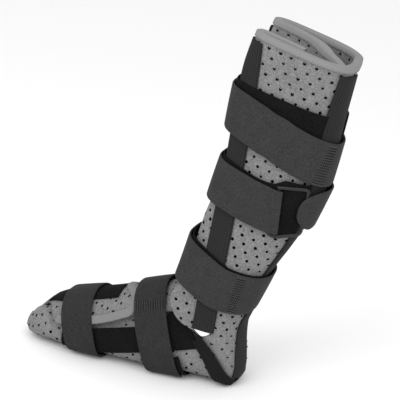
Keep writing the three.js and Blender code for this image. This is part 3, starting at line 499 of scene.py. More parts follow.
def rib_group() -> bpy.types.NodeTree:
    """Woven webbing: fine ribs across it crossed by yarn picks, from its own map in metres.

    Returns:
        The shader group.
    """
    tree = new_group(
        "woven_rib",
        {"Vector": ("NodeSocketVector", None), "Dark": ("NodeSocketColor", grey(0.01)),
         "Light": ("NodeSocketColor", grey(0.05)), "Rib": ("NodeSocketFloat", 0.0016),
         "Pick": ("NodeSocketFloat", 0.0012), "Slant": ("NodeSocketFloat", 0.5)},
        {"Color": "NodeSocketColor", "Height": "NodeSocketFloat"},
    )
    g = Graph(tree)
    source, out = tree.nodes["In"], tree.nodes["Out"]
    parts = g.add("ShaderNodeSeparateXYZ", {0: source.outputs["Vector"]})
    rib = g.math("DIVIDE", parts.outputs[0], source.outputs["Rib"])
    pick = g.math("DIVIDE", parts.outputs[1], source.outputs["Pick"])
    slanted = g.math("MULTIPLY_ADD", rib, source.outputs["Slant"], pick)
    wave_a = g.math("SINE", g.math("MULTIPLY", rib, math.tau))
    wave_b = g.math("SINE", g.math("MULTIPLY", slanted, math.tau))
    height = g.math("MULTIPLY_ADD", wave_a, 0.12, g.math("MULTIPLY_ADD", wave_b, 0.36, 0.5))
    fibre = g.add("ShaderNodeTexNoise", {"Vector": source.outputs["Vector"], "Scale": 1400.0, "Detail": 2.0})
    uneven = g.math("MULTIPLY_ADD", fibre.outputs["Fac"], 0.5, g.math("MULTIPLY", height, 0.7))
    mask = g.add("ShaderNodeClamp", {"Value": g.math("MULTIPLY_ADD", uneven, 1.3, -0.28)}).outputs[0]
    g.link(g.mix(mask, source.outputs["Dark"], source.outputs["Light"]), out.inputs["Color"])
    g.link(height, out.inputs["Height"])
    return tree


@dataclass(frozen=True)
class Finish:
    """A cloth or plastic finish."""

    name: str
    dark: tuple[float, float, float, float]
    light: tuple[float, float, float, float]
    roughness: float = 0.9
    sheen: float = 0.0
    bump: float = 0.3
    depth: float = 0.0003
    scale: float = 900.0
    patch: float = 45.0
    woven: bool = False
    rib: float = 0.0016
    pick: float = 0.0012
    slant: float = 0.5
    specular: float = 0.25

    def make(self, fibre: bpy.types.NodeTree, weave: bpy.types.NodeTree) -> bpy.types.Material:
        """Builds the material.

        Args:
            fibre: the brushed cloth group.
            weave: the webbing group.

        Returns:
            The material.
        """
        material = bpy.data.materials.new(self.name)
        material.use_nodes = True
        tree = material.node_tree
        g = Graph(tree)
        shader = tree.nodes["Principled BSDF"]
        place = tree.nodes.new("ShaderNodeTexCoord")
        if self.woven:
            inputs = {"Vector": place.outputs["UV"], "Dark": self.dark, "Light": self.light,
                      "Rib": self.rib, "Pick": self.pick, "Slant": self.slant}
            cloth = g.add("ShaderNodeGroup", node_tree=weave)
        else:
            inputs = {"Vector": place.outputs["Object"], "Dark": self.dark, "Light": self.light,
                      "Scale": self.scale, "Patch": self.patch}
            cloth = g.add("ShaderNodeGroup", node_tree=fibre)
        for key, value in inputs.items():
            if isinstance(value, bpy.types.NodeSocket):
                g.link(value, cloth.inputs[key])
            else:
                cloth.inputs[key].default_value = value
        bump = g.add("ShaderNodeBump", {"Strength": self.bump, "Distance": self.depth,
                                        "Height": cloth.outputs["Height"]})
        g.link(cloth.outputs["Color"], shader.inputs["Base Color"])
        g.link(bump.outputs[0], shader.inputs["Normal"])
        shader.inputs["Roughness"].default_value = self.roughness
        shader.inputs["Specular IOR Level"].default_value = self.specular
        shader.inputs["Sheen Weight"].default_value = self.sheen
        shader.inputs["Sheen Roughness"].default_value = 0.5
        return material


class Finishes:
    """Every finish of the boot, made once."""

    def __init__(self) -> None:
        """Builds the shader groups and the materials."""
        fibre, weave = fleece_group(), rib_group()
        specs = [
            Finish("foam_cover", grey(0.085), grey(0.255), roughness=0.95, sheen=0.05, bump=0.6, depth=0.0005,
                   scale=520.0, specular=0.1),
            # Near-black painted shade for the shadowed insides of the punched holes
            Finish("punched_hole_shade", grey(0.002), grey(0.004), roughness=1.0, bump=0.1, specular=0.0),
            Finish("edge_binding", grey(0.17), grey(0.25), roughness=0.9, sheen=0.04, bump=0.4,
                   depth=0.0003, woven=True, rib=0.0011, pick=0.0011, slant=0.0, specular=0.1),
            Finish("flap_binding", grey(0.13), grey(0.225), roughness=0.9, sheen=0.04, bump=0.4,
                   depth=0.0003, woven=True, rib=0.0011, pick=0.0011, slant=0.0, specular=0.1),
            Finish("stay_webbing", cloth_tint(0.002), cloth_tint(0.036), roughness=0.8, bump=0.9,
                   depth=0.0005, woven=True, rib=0.0032, pick=0.0026, slant=1.3, specular=0.1),
            Finish("heel_webbing", cloth_tint(0.002), cloth_tint(0.036), roughness=0.8, bump=0.8,
                   depth=0.0004, woven=True, rib=0.0026, pick=0.0021, slant=0.8, specular=0.1),
            Finish("heel_cloth", cloth_tint(0.002), cloth_tint(0.019), roughness=0.85, bump=0.8,
                   depth=0.0004, woven=True, rib=0.0026, pick=0.0021, slant=0.8, specular=0.08),
            Finish("loop_cloth", grey(0.002), grey(0.011), roughness=0.95, sheen=0.01, bump=0.6, depth=0.0006,
                   scale=600.0, specular=0.04),
            Finish("strap_cloth", cloth_tint(0.018), cloth_tint(0.045), roughness=0.92, sheen=0.02, bump=0.4,
                   depth=0.0003, scale=560.0, patch=70.0, specular=0.1),
            Finish("foot_strap_cloth", cloth_tint(0.013), cloth_tint(0.035), roughness=0.92, sheen=0.02,
                   bump=0.4, depth=0.0003, scale=560.0, patch=70.0, specular=0.1),
            # Near-black painted shade for the needle holes between the stitches
            Finish("needle_prick_shade", grey(0.004), grey(0.01), roughness=0.7, bump=0.1, specular=0.1),
            Finish("thread_light", grey(0.08), grey(0.12), roughness=0.7, bump=0.1, specular=0.1),
            Finish("thread_grey", grey(0.1), grey(0.16), roughness=0.7, bump=0.1, specular=0.1),
            Finish("ring_plastic", grey(0.003), grey(0.006), roughness=0.45, bump=0.05, specular=0.4),
            Finish("stay_plastic", grey(0.72), grey(0.8), roughness=0.4, bump=0.05, specular=0.4),
        ]
        self.by_name = {spec.name: spec.make(fibre, weave) for spec in specs}

    def __getitem__(self, name: str) -> bpy.types.Material:
        """Returns the material of that name."""
        return self.by_name[name]


def mesh_object(name: str, points: np.ndarray, faces: Sequence[Sequence[int]], uv: np.ndarray | None = None,
                flat: bool = False) -> bpy.types.Object:
    """Makes an object in the row frame.

    Args:
        name: the piece's name.
        points: its vertices, in metres.
        faces: its faces, outwards.
        uv: one pair for each face corner, in metres.
        flat: true leaves its faces flat shaded.

    Returns:
        The object, linked to the scene.
    """
    mesh = bpy.data.meshes.new(name)
    mesh.from_pydata(np.asarray(points).tolist(), [], [list(map(int, f)) for f in faces])
    if uv is not None:
        layer = mesh.uv_layers.new(name="UVMap")
        layer.data.foreach_set("uv", np.asarray(uv, dtype=np.float32).ravel())
    mesh.polygons.foreach_set("use_smooth", [not flat] * len(mesh.polygons))
    mesh.update()
    obj = bpy.data.objects.new(name, mesh)
    bpy.context.scene.collection.objects.link(obj)
    return obj


def turn_out(obj: bpy.types.Object) -> None:
    """Makes a closed mesh's faces point outwards.

    Args:
        obj: the object to turn.
    """
    mesh = obj.data
    mesh.calc_loop_triangles()
    co = np.empty(len(mesh.vertices) * 3)
    mesh.vertices.foreach_get("co", co)
    co = co.reshape(-1, 3)
    tri = np.array([t.vertices[:] for t in mesh.loop_triangles])
    volume = np.einsum("ij,ij->i", co[tri[:, 0]], np.cross(co[tri[:, 1]], co[tri[:, 2]])).sum()
    if volume < 0:
        mesh.flip_normals()


def grid_solid(name: str, outer: np.ndarray, inner: np.ndarray, u: np.ndarray, v: np.ndarray,
               loop: bool = False, active: np.ndarray | None = None) -> bpy.types.Object:
    """Makes one closed sheet solid from two grids of points.

    Args:
        name: the piece's name.
        outer: rows x columns x 3 points of the outer skin, in metres.
        inner: the same for the inner skin.
        u: rows x columns distances across, in metres, for the cloth's map.
        v: rows x columns distances along.
        loop: true joins the last column to the first; u and v then have one column more.
        active: which cells are there.

    Returns:
        The object.
    """
    rows, cols = outer.shape[:2]
    cells = cols if loop else cols - 1
    points = np.concatenate([outer.reshape(-1, 3), inner.reshape(-1, 3)])
    here = np.ones((rows - 1, cells), bool) if active is None else active
    faces, uv = [], []
    shift = rows * cols

    def vid(r: int, c: int, s: int) -> int:
        """Returns a vertex's number."""
        return s * shift + r * cols + (c % cols)

    for r in range(rows - 1):
        for c in range(cells):
            if not here[r, c]:
                continue
            ring = [(r, c), (r, c + 1), (r + 1, c + 1), (r + 1, c)]
            faces.append([vid(i, j, 0) for i, j in ring])
            uv.extend([(u[i, j], v[i, j]) for i, j in ring])
            faces.append([vid(i, j, 1) for i, j in reversed(ring)])
            uv.extend([(u[i, j], v[i, j]) for i, j in reversed(ring)])
            sides = (
                r > 0 and here[r - 1, c],
                here[r, (c + 1) % cells] if loop else (c + 1 < cells and here[r, c + 1]),
                r + 1 < rows - 1 and here[r + 1, c],
                here[r, c - 1] if loop else (c > 0 and here[r, c - 1]),
            )
            for k, closed in enumerate(sides):
                if closed:
                    continue
                (i, j), (m, n) = ring[k], ring[(k + 1) % 4]
                faces.append([vid(m, n, 0), vid(i, j, 0), vid(i, j, 1), vid(m, n, 1)])
                uv.extend([(u[m, n], v[m, n]), (u[i, j], v[i, j]), (u[i, j], v[i, j]), (u[m, n], v[m, n])])
    used = np.unique(np.concatenate([np.array(f) for f in faces]))
    number = np.full(len(points), -1)
    number[used] = np.arange(len(used))
    obj = mesh_object(name, points[used], [[number[i] for i in f] for f in faces], np.array(uv))
    turn_out(obj)
    return obj


def swept(name: str, centre: np.ndarray, across: np.ndarray, out: np.ndarray, profile: np.ndarray,
          width: np.ndarray, thickness: np.ndarray, loop: bool) -> bpy.types.Object:
    """Sweeps a closed profile along a path.

    Args:
        name: the piece's name.
        centre: the path, at the underside's middle, in metres.
        across: unit vectors across the band at each point.
        out: unit vectors away from the boot at each point.
        profile: closed outline; first column is the share of half the width, second of the thickness.
        width: band width at each point, in metres.
        thickness: band thickness at each point.
        loop: true joins the ends.

    Returns:
        The object.
    """
    steps, sides = len(centre), len(profile)
    w = profile[None, :, 0, None] * (width[:, None, None] / 2)
    t = profile[None, :, 1, None] * thickness[:, None, None]
    points = centre[:, None, :] + across[:, None, :] * w + out[:, None, :] * t
    run = run_along(centre)
    closing = run[-1] + np.linalg.norm(centre[0] - centre[-1])
    along = np.append(run, closing)
    faces, uv = [], []
    for i in range(steps if loop else steps - 1):
        for j in range(sides):
            k = (j + 1) % sides
            n = (i + 1) % steps
            faces.append([i * sides + j, i * sides + k, n * sides + k, n * sides + j])
            a, b = profile[j, 0] * width[i] / 2, profile[k, 0] * width[i] / 2
            uv.extend([(a, along[i]), (b, along[i]), (b, along[i + 1]), (a, along[i + 1])])
    if not loop:
        for i, order in ((0, 1), (steps - 1, -1)):
            ring = [i * sides + j for j in range(sides)][::order]
            faces.append(ring)
            uv.extend([(0.0, along[i])] * sides)
    obj = mesh_object(name, points.reshape(-1, 3), faces, np.array(uv))
    turn_out(obj)
    return obj


def band_profile(edge: float = 0.05, crown: float = 0.0, points: int = 9) -> np.ndarray:
    """Makes a strap's rounded profile.

    Args:
        edge: rounding at each side, as a share of half the width.
        crown: how much the middle stands up, as a share of the thickness.
        points: points across the top.

    Returns:
        The closed outline, as shares of half the width and of the thickness.
    """
    xs = np.linspace(-1 + edge, 1 - edge, points)
    top = [(x, 1.0 + crown * (1 - x * x)) for x in xs]
    bottom = [(x, 0.0 + crown * (1 - x * x)) for x in xs[::-1]]
    turn = edge * 0.3
    right = [(1 - turn, 0.85), (1.0, 0.5), (1 - turn, 0.15)]
    left = [(-1 + turn, 0.15), (-1.0, 0.5), (-1 + turn, 0.85)]
    return np.array(top + right + bottom + left)


def dress(obj: bpy.types.Object, material: bpy.types.Material, slot: Slot, *nodes: str) -> bpy.types.Object:
    """Gives a finished piece its material and body, and hides the solids that it replaces.

    Args:
        obj: the piece.
        material: its finish.
        slot: not used.
        *nodes: the solids that it replaces.

    Returns:
        The same object.
    """
    obj.data.materials.clear()
    obj.data.materials.append(material)
    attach(obj, ROOT)
    if nodes:
        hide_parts(*nodes)
    LOG.info("%s: %d faces", obj.name, len(obj.data.polygons))
    return obj


# Folds of the leg wrap
@dataclass
class LegSkin:
    """The leg wrap's cloth surface: both side panels joined round the back, with folded flaps."""

    near_flat: int = 3
    near_fold: int = 5
    panel: int = 22
    far_flat: int = 4
    far_fold: int = 5
    near_turn: float = 1.0
    far_turn: float = 0.0
    near_bow: float = 0.1
    far_bow: float = -1.1
    fold_rows: float = 5.0
    far_rise: float = 4.0

    @property
    def near_end(self) -> int:
        """Column where the near fold meets the panel."""
        return self.near_flat + self.near_fold

    @property
    def far_start(self) -> int:
        """Column where the panel meets the far fold."""
        return self.near_end + self.panel

    @property
    def columns(self) -> int:
        """Last column."""
        return self.far_start + self.far_fold + self.far_flat

    def _flap(self, sec: dict[str, np.ndarray], flat: np.ndarray, slant: float, fold: int, flats: int,
              step: np.ndarray, bow: float) -> tuple[np.ndarray, np.ndarray, np.ndarray, np.ndarray]:
        """Returns a flap's middle line in the section's plane, and its normal.

        Args:
            sec: section values.
            flat: length of the flat part past the fold, in millimetres.
            slant: direction of the flat part, in degrees.
            fold: columns in the fold.
            flats: columns in the flat part.
            step: columns past the panel's edge.
            bow: how far the flat part bends, in radians.

        Returns:
            The line's two parts, then its normal's two parts.
        """
        q0, y0 = Sections.outline(sec, sec["edge"])
        hq, hy = Sections.heading(sec, sec["edge"])
        sq, sy = q0 + hy * FOAM / 2, y0 - hq * FOAM / 2
        start = np.arctan2(hy, hq)
        turn = np.mod(start - math.radians(slant), 2 * math.pi)
        cq, cy = sq + hy * FOLD_RADIUS, sy - hq * FOLD_RADIUS
        folded = np.minimum(1.0, step / fold)
        beyond = np.maximum(0.0, (step - fold) / flats)
        angle = start - turn * folded - bow * beyond
        nq, ny = -np.sin(angle), np.cos(angle)
        run = beyond * flat * np.sinc(bow * beyond / math.tau)
        mean = start - turn * folded - bow * beyond / 2
        return (cq - np.sin(start - turn * folded) * FOLD_RADIUS + np.cos(mean) * run,
                cy + np.cos(start - turn * folded) * FOLD_RADIUS + np.sin(mean) * run, nq, ny)

    def point(self, level: np.ndarray, column: np.ndarray, depth: np.ndarray) -> np.ndarray:
        """Returns points of the foam: depth 0 is the outer skin and FOAM the inner one.

        Args:
            level: where down the leg.
            column: where round the wrap.
            depth: distance under the outer skin, in millimetres.

        Returns:
            The points, in millimetres.
        """
        level, column, depth = np.broadcast_arrays(
            np.asarray(level, float), np.asarray(column, float), np.asarray(depth, float))
        sec = LEG.at(level)
        share = (column - self.near_end) / self.panel
        angle = sec["edge"] * (1 - 2 * np.clip(share, 0, 1))
        panel = LEG.off(level, angle, -depth)
        left = 1 - 0.8 * smooth(level / self.fold_rows)
        out = FOAM / 2 - depth
        result = panel.copy()
        for near in (True, False):
            step = self.near_end - column if near else column - self.far_start
            q, y, nq, ny = self._flap(
                sec, (NEAR_FLAP if near else FAR_FLAP) * left, self.near_turn if near else self.far_turn,
                self.near_fold if near else self.far_fold, self.near_flat if near else self.far_flat,
                np.maximum(step, 0.0), self.near_bow if near else self.far_bow)
            side = 1 if near else -1
            flap = LEG.place(sec, q + nq * out, side * (y + ny * out))
            result = np.where((step > 0)[..., None], flap, result)
        result[..., 2] += self.far_rise * smooth(result[..., 1] / 14) * smooth(1 - level / 2)
        return result

    def round_panel(self, level: float, side: int, distance: np.ndarray, out: float) -> np.ndarray:
        """Returns points measured round from a panel's front edge, negative being round the fold.

        Args:
            level: where down the leg.
            side: 1 for the near panel, -1 for the far one.
            distance: distances from the front edge, in millimetres.
            out: distance off the foam.

        Returns:
            One point for each distance.
        """
        start = self.near_end if side > 0 else self.far_start
        steps = np.linspace(-self.near_fold, self.panel * 0.7, 500)
        line = self.point(np.full(steps.shape, level), start + side * steps, np.full(steps.shape, -out))
        run = run_along(line)
        run -= np.interp(0.0, steps, run)
        return np.stack([np.interp(distance, run, line[:, k]) for k in range(3)], -1)


SKIN = LegSkin()


def lengths(points: np.ndarray, axis: int) -> np.ndarray:
    """Returns running distance along one axis of a grid of points.

    Args:
        points: rows x columns x 3 points.
        axis: 0 down the rows, 1 along the columns.

    Returns:
        The distance at each point.
    """
    step = np.linalg.norm(np.diff(points, axis=axis), axis=-1)
    total = np.cumsum(step, axis=axis)
    pad = [(0, 0), (0, 0)]
    pad[axis] = (1, 0)
    return np.pad(total, pad)


@dataclass
class FoamWraps:
    """The two padded foam wraps and their bindings."""

    finishes: Finishes
    rows: int = 132
    leg_cols: int = 176
    foot_rows: int = 96
    foot_cols: int = 150
    lap_lift: float = LAP_LIFT
    lap_sink: float = 4.9
    lap_start: float = 26.0
    flap_front: float = 7.4
    rim_width: float = 8.6
    cap_rows: int = 8
    cap_length: float = 5.5
    toe_gap: float = 24.0
    wall_cols: int = 62
    lap_cols: int = 6
    gather_deg: float = 82.0
    binding_front: float = 6.0
    binding_rear: float = 3.45

    def leg_levels(self) -> np.ndarray:
        """Rows of the leg wrap from the rim to the heel seam."""
        return np.linspace(0, SEAM_ROW, self.rows)

    @staticmethod
    def leg_skin(level: np.ndarray, column: np.ndarray, depth: np.ndarray | float) -> np.ndarray:
        """Returns the leg wrap's softly uneven surface at a depth, its edges rounded.

        Args:
            level: where down the leg.
            column: where round the wrap.
            depth: distance under the outer skin.

        Returns:
            The points, in millimetres.
        """
        edge_run = np.minimum(column, SKIN.columns - column)
        pinch = np.sqrt(np.clip(edge_run / 0.35, 0.15, 1.0))
        middle = FOAM / 2
        puff = 0.5 * wobble(level * 1.3, column * 0.55, 1.3) * (depth < 1)
        return SKIN.point(level, column, middle + (depth - middle) * pinch - puff)

    def leg_grid(self, depth: float) -> np.ndarray:
        """Returns the leg wrap's skin at a depth.

        Args:
            depth: distance under the outer skin.

        Returns:
            Rows x columns x 3 points.
        """
        columns = np.linspace(0, SKIN.columns, self.leg_cols)
        level, column = np.meshgrid(self.leg_levels(), columns, indexing="ij")
        return self.leg_skin(level, column, depth)

    def build_leg(self) -> bpy.types.Object:
        """Builds the leg wrap.

        Returns:
            The padded piece.
        """
        outer, inner = metres(self.leg_grid(0.0)), metres(self.leg_grid(FOAM))
        columns = np.linspace(0, SKIN.columns, self.leg_cols)
        levels = self.leg_levels()
        mid_c = (columns[:-1] + columns[1:]) / 2
        mid_l = (levels[:-1] + levels[1:]) / 2
        panel = (mid_c > SKIN.near_end) & (mid_c < SKIN.far_start)
        active = panel[None, :] | (mid_l[:, None] < SKIN.fold_rows)
        obj = grid_solid("foam_leg_wrap", outer, inner, lengths(outer, 1), lengths(outer, 0), active=active)
        dress(obj, self.finishes["foam_cover"], Slot.FOAM, "leg_wrap")
        return obj

    @staticmethod
    def angle_at_height(level: np.ndarray) -> np.ndarray:
        """Returns the near-side angle at which a foot section reaches its flap edge's height.

        Args:
            level: where along the foot.

        Returns:
            The angles, in degrees.
        """
        sec = FOOT.at(level)
        low, high = np.full(np.shape(level), 20.0), np.full(np.shape(level), 178.0)
        for _ in range(24):
            mid = (low + high) / 2
            q, _y = Sections.outline(sec, 180 - mid)
            below = q < sec["edge"] * sec["length"]
            low, high = np.where(below, mid, low), np.where(below, high, mid)
        return 180 - (low + high) / 2

    def foot_point(self, level: np.ndarray, angle: np.ndarray, flap: np.ndarray,
                   depth: np.ndarray) -> np.ndarray:
        """Returns points of the foot wrap.

        Args:
            level: where along the foot.
            angle: where round it, 0 and 360 being the top.
            flap: true on the far wall and the top flap.
            depth: distance under the outer skin.

        Returns:
            The points, in millimetres.
        """
        edge = self.angle_at_height(level)
        under = 1 - smooth((level - self.flap_front) / 0.8)
        sink = self.lap_sink * under * smooth((edge + self.lap_start - angle) / self.lap_start)
        lift = self.lap_lift * smooth((angle - 360) / edge)
        return FOOT.off(level, angle, np.where(flap, lift, -sink) - depth)

    def foot_skin(self, level: np.ndarray, angle: np.ndarray, flap: np.ndarray,
                  depth: np.ndarray) -> np.ndarray:
        """Returns the foot wrap's softly uneven surface, thinner towards the toe.

        Args:
            level: where along the foot.
            angle: where round it, 0 and 360 being the top.
            flap: true on the far wall and the top flap.
            depth: distance under the outer skin.

        Returns:
            The points, in millimetres.
        """
        toe = smooth((level - (TOE_ROW - 0.6)) / 0.6)
        puff = 0.5 * wobble(level * 1.9, angle * 0.06, 2.1) * (depth < 1)
        return self.foot_point(level, angle, flap, (depth - puff) * (1 - 0.5 * toe))

    def build_foot(self) -> bpy.types.Object:
        """Builds the foot wrap with its lapped top flap, open over the toes and gathered at the tip.

        Returns:
            The padded piece.
        """
        levels = np.concatenate([np.linspace(0, TOE_ROW, self.foot_rows),
                                 TOE_ROW + np.linspace(0, 1, self.cap_rows + 1)[1:]])
        wall, lap = self.wall_cols, self.lap_cols
        edge = self.angle_at_height(levels)
        grids = []
        for r, level in enumerate(levels):
            tuck = FOOT.angle_along(float(level), float(edge[r]), -FLAP_LAP)
            grids.append(np.concatenate([
                np.linspace(tuck, edge[r], lap, endpoint=False),
                np.linspace(edge[r], 180, wall - lap, endpoint=False),
                np.linspace(180, 360, wall, endpoint=False),
                np.linspace(360, 360 + edge[r], self.foot_cols - 2 * wall),
            ]))
        angle = np.array(grids)
        level = np.repeat(levels[:, None], angle.shape[1], 1)
        flap = np.zeros(angle.shape, bool)
        flap[:, wall:] = True
        cols = np.arange(angle.shape[1])
        run = np.minimum(cols, angle.shape[1] - 1 - cols)
        pinch = np.sqrt(np.clip(run / 2.0, 0.15, 1.0))[None, :] * np.ones_like(angle)
        end = FOOT.at(float(TOE_ROW))
        core = FOOT.place(end, end["length"] / 2, 0)
        turn = np.radians(self.gather_deg * np.clip(level - TOE_ROW, 0, 1))[..., None]
        skins = []
        for depth in (0.0, FOAM):
            d = FOAM / 2 + (depth - FOAM / 2) * pinch
            p = self.foot_skin(level, angle, flap, d)
            gathered = core + (p - core) * np.cos(turn)
            reach = self.cap_length - depth * 0.5
            skins.append(metres(gathered - np.sin(turn) * np.array([reach, 0, 0])))
        outer, inner = skins
        mid_l = (levels[:-1] + levels[1:]) / 2
        mid_a = (angle[:-1, :-1] + angle[1:, 1:]) / 2
        beside_toes = (mid_a < 360 - self.toe_gap) & (cols[None, :-1] >= lap)
        active = (mid_l[:, None] < self.flap_front) | beside_toes
        obj = grid_solid("foam_foot_wrap", outer, inner, lengths(outer, 1), lengths(outer, 0), active=active)
        dress(obj, self.finishes["foam_cover"], Slot.FOAM, "foot_wrap")
        return obj

    def rim_binding(self) -> bpy.types.Object:
        """Builds the binding folded over the rim and the tops of both flaps.

        Returns:
            The piece.
        """
        columns = np.linspace(0, SKIN.columns, 300)
        wide = self.rim_width
        a, b = LEG.place(LEG.at(0.0), 0, 0), LEG.place(LEG.at(0.5), 0, 0)
        rise = (a - b) / np.linalg.norm(a - b)
        reach = GAP + BINDING
        path = [(wide, 0, 1.0, 0), (wide * 0.96, 0, 1.25, 0), (wide * 0.8, 0, 1.1, 0),
                (wide * 0.5, 0, 1.15, 0), (wide * 0.2, 0, 1.15, 0.0), (0, 0.02, 0.95, 0.5),
                (0, 0.18, 0.5, 1.0), (0, 0.5, 0, 1.25), (0, 0.82, -0.5, 1.0), (0, 0.98, -0.95, 0.5),
                (wide * 0.2, 1, -1.15, 0), (wide * 0.5, 1, -1.15, 0),
                (wide * 0.96, 1, -1.1, 0), (wide, 1, -0.9, 0)]
        skins = []
        for skin in (1.0, 0.25):
            rows = []
            for drop, depth, out, up in path:
                d = depth * FOAM - out * reach * skin
                level = np.full(columns.shape, drop * RIM_LEVELS_PER_MM)
                line = SKIN.point(level, columns, np.full(columns.shape, d))
                rows.append(line + rise * up * reach * skin)
            skins.append(metres(np.array(rows)))
        obj = grid_solid("rim_edge_binding", skins[0], skins[1], lengths(skins[0], 0), lengths(skins[0], 1))
        return dress(obj, self.finishes["edge_binding"], Slot.BINDING, "rim_binding")

    def foot_binding(self) -> bpy.types.Object:
        """Builds the plain binding over the top flap's near edge and up over its rear end.

        Returns:
            The piece.
        """
        along = np.linspace(self.binding_front, self.binding_rear, 60)
        edge = self.angle_at_height(along)
        low = np.array([
            FOOT.angle_along(float(a), float(e), -BINDING_WIDTH / 2) for a, e in zip(along, edge)])
        turn = np.linspace(0, 1, 14)[1:]
        corner_level = along[-1] - 0.42 * np.sin(turn * math.pi / 2)
        corner_deg = low[-1] - 16 * (1 - np.cos(turn * math.pi / 2))
        over = np.linspace(corner_deg[-1], -20, 40)[1:]
        rising = corner_level[-1] + 0.55 * smooth((corner_deg[-1] - over) / corner_deg[-1])
        level = np.concatenate([along, corner_level, rising])
        deg = np.concatenate([low, corner_deg, over])
        lift = self.lap_lift * np.clip(smooth(deg / edge[-1]), 0, 1) + 0.9
        mid = FOOT.off(level, deg, lift)
        out = FOOT.off(level, deg, lift + 1) - mid
        step = np.gradient(mid, axis=0)
        step /= np.linalg.norm(step, axis=1)[:, None]
        across = np.cross(step, out)
        across /= np.linalg.norm(across, axis=1)[:, None]
        out = np.cross(across, step)
        out *= np.sign(np.einsum("ij,ij->i", out, FOOT.off(level, deg, lift + 1) - mid))[:, None]
        n = len(level)
        obj = swept("flap_edge_binding", metres(mid), across, out, band_profile(0.2, 0.25),
                    np.full(n, BINDING_WIDTH * MM), np.full(n, BINDING * MM), False)
        return dress(obj, self.finishes["flap_binding"], Slot.BINDING, "foot_binding")


@dataclass(frozen=True)
class StripShape:
    """Where the points across a strip lie, from edge to edge, and the share of its thickness at each."""

    across: tuple[float, ...]
    left: tuple[float, ...]

    @property
    def shares(self) -> np.ndarray:
        """The points across, as shares of half the width."""
        return np.array(self.across)

    def skins(self, low: np.ndarray, high: np.ndarray) -> tuple[np.ndarray, np.ndarray]:
        """Returns the outer and inner points of one line across, drawn together at the edges.

        Args:
            low: the line's points on the underside.
            high: the same points on the upper side.

        Returns:
            The outer and the inner points.
        """
        middle, half = (low + high) / 2, (high - low) / 2 * np.array(self.left)[:, None]
        return middle + half, middle - half


STAY_SHAPE = StripShape(
    (-1, -0.985, -0.93, -0.8, -0.6, -0.4, -0.2, 0, 0.2, 0.4, 0.6, 0.8, 0.93, 0.985, 1),
    (0.35, 0.7, 0.95, 1, 1, 1, 1, 1, 1, 1, 1, 1, 0.95, 0.7, 0.35))
BACK_SHAPE = StripShape(
    (-1, -0.98, -0.9, -0.7, -0.45, -0.2, 0, 0.2, 0.45, 0.7, 0.9, 0.98, 1),
    (0.4, 0.8, 1, 1, 1, 1, 1, 1, 1, 1, 1, 0.8, 0.4))
HEEL_SHAPE = StripShape(
    (-1, -0.97, -0.85, -0.6, -0.3, 0, 0.3, 0.6, 0.85, 0.97, 1), (0.4, 0.8, 1, 1, 1, 1, 1, 1, 1, 0.8, 0.4))
BAND_SHAPE = StripShape(
    (-1, -0.98, -0.9, -0.7, -0.4, -0.1, 0.1, 0.4, 0.7, 0.9, 0.98, 1),
    (0.4, 0.8, 1, 1, 1, 1, 1, 1, 1, 1, 0.8, 0.4))
TOP_SHAPE = StripShape(
    (-1, -0.98, -0.9, -0.6, -0.3, 0, 0.3, 0.6, 0.9, 0.98, 1), (0.4, 0.8, 1, 1, 1, 1, 1, 1, 1, 0.8, 0.4))


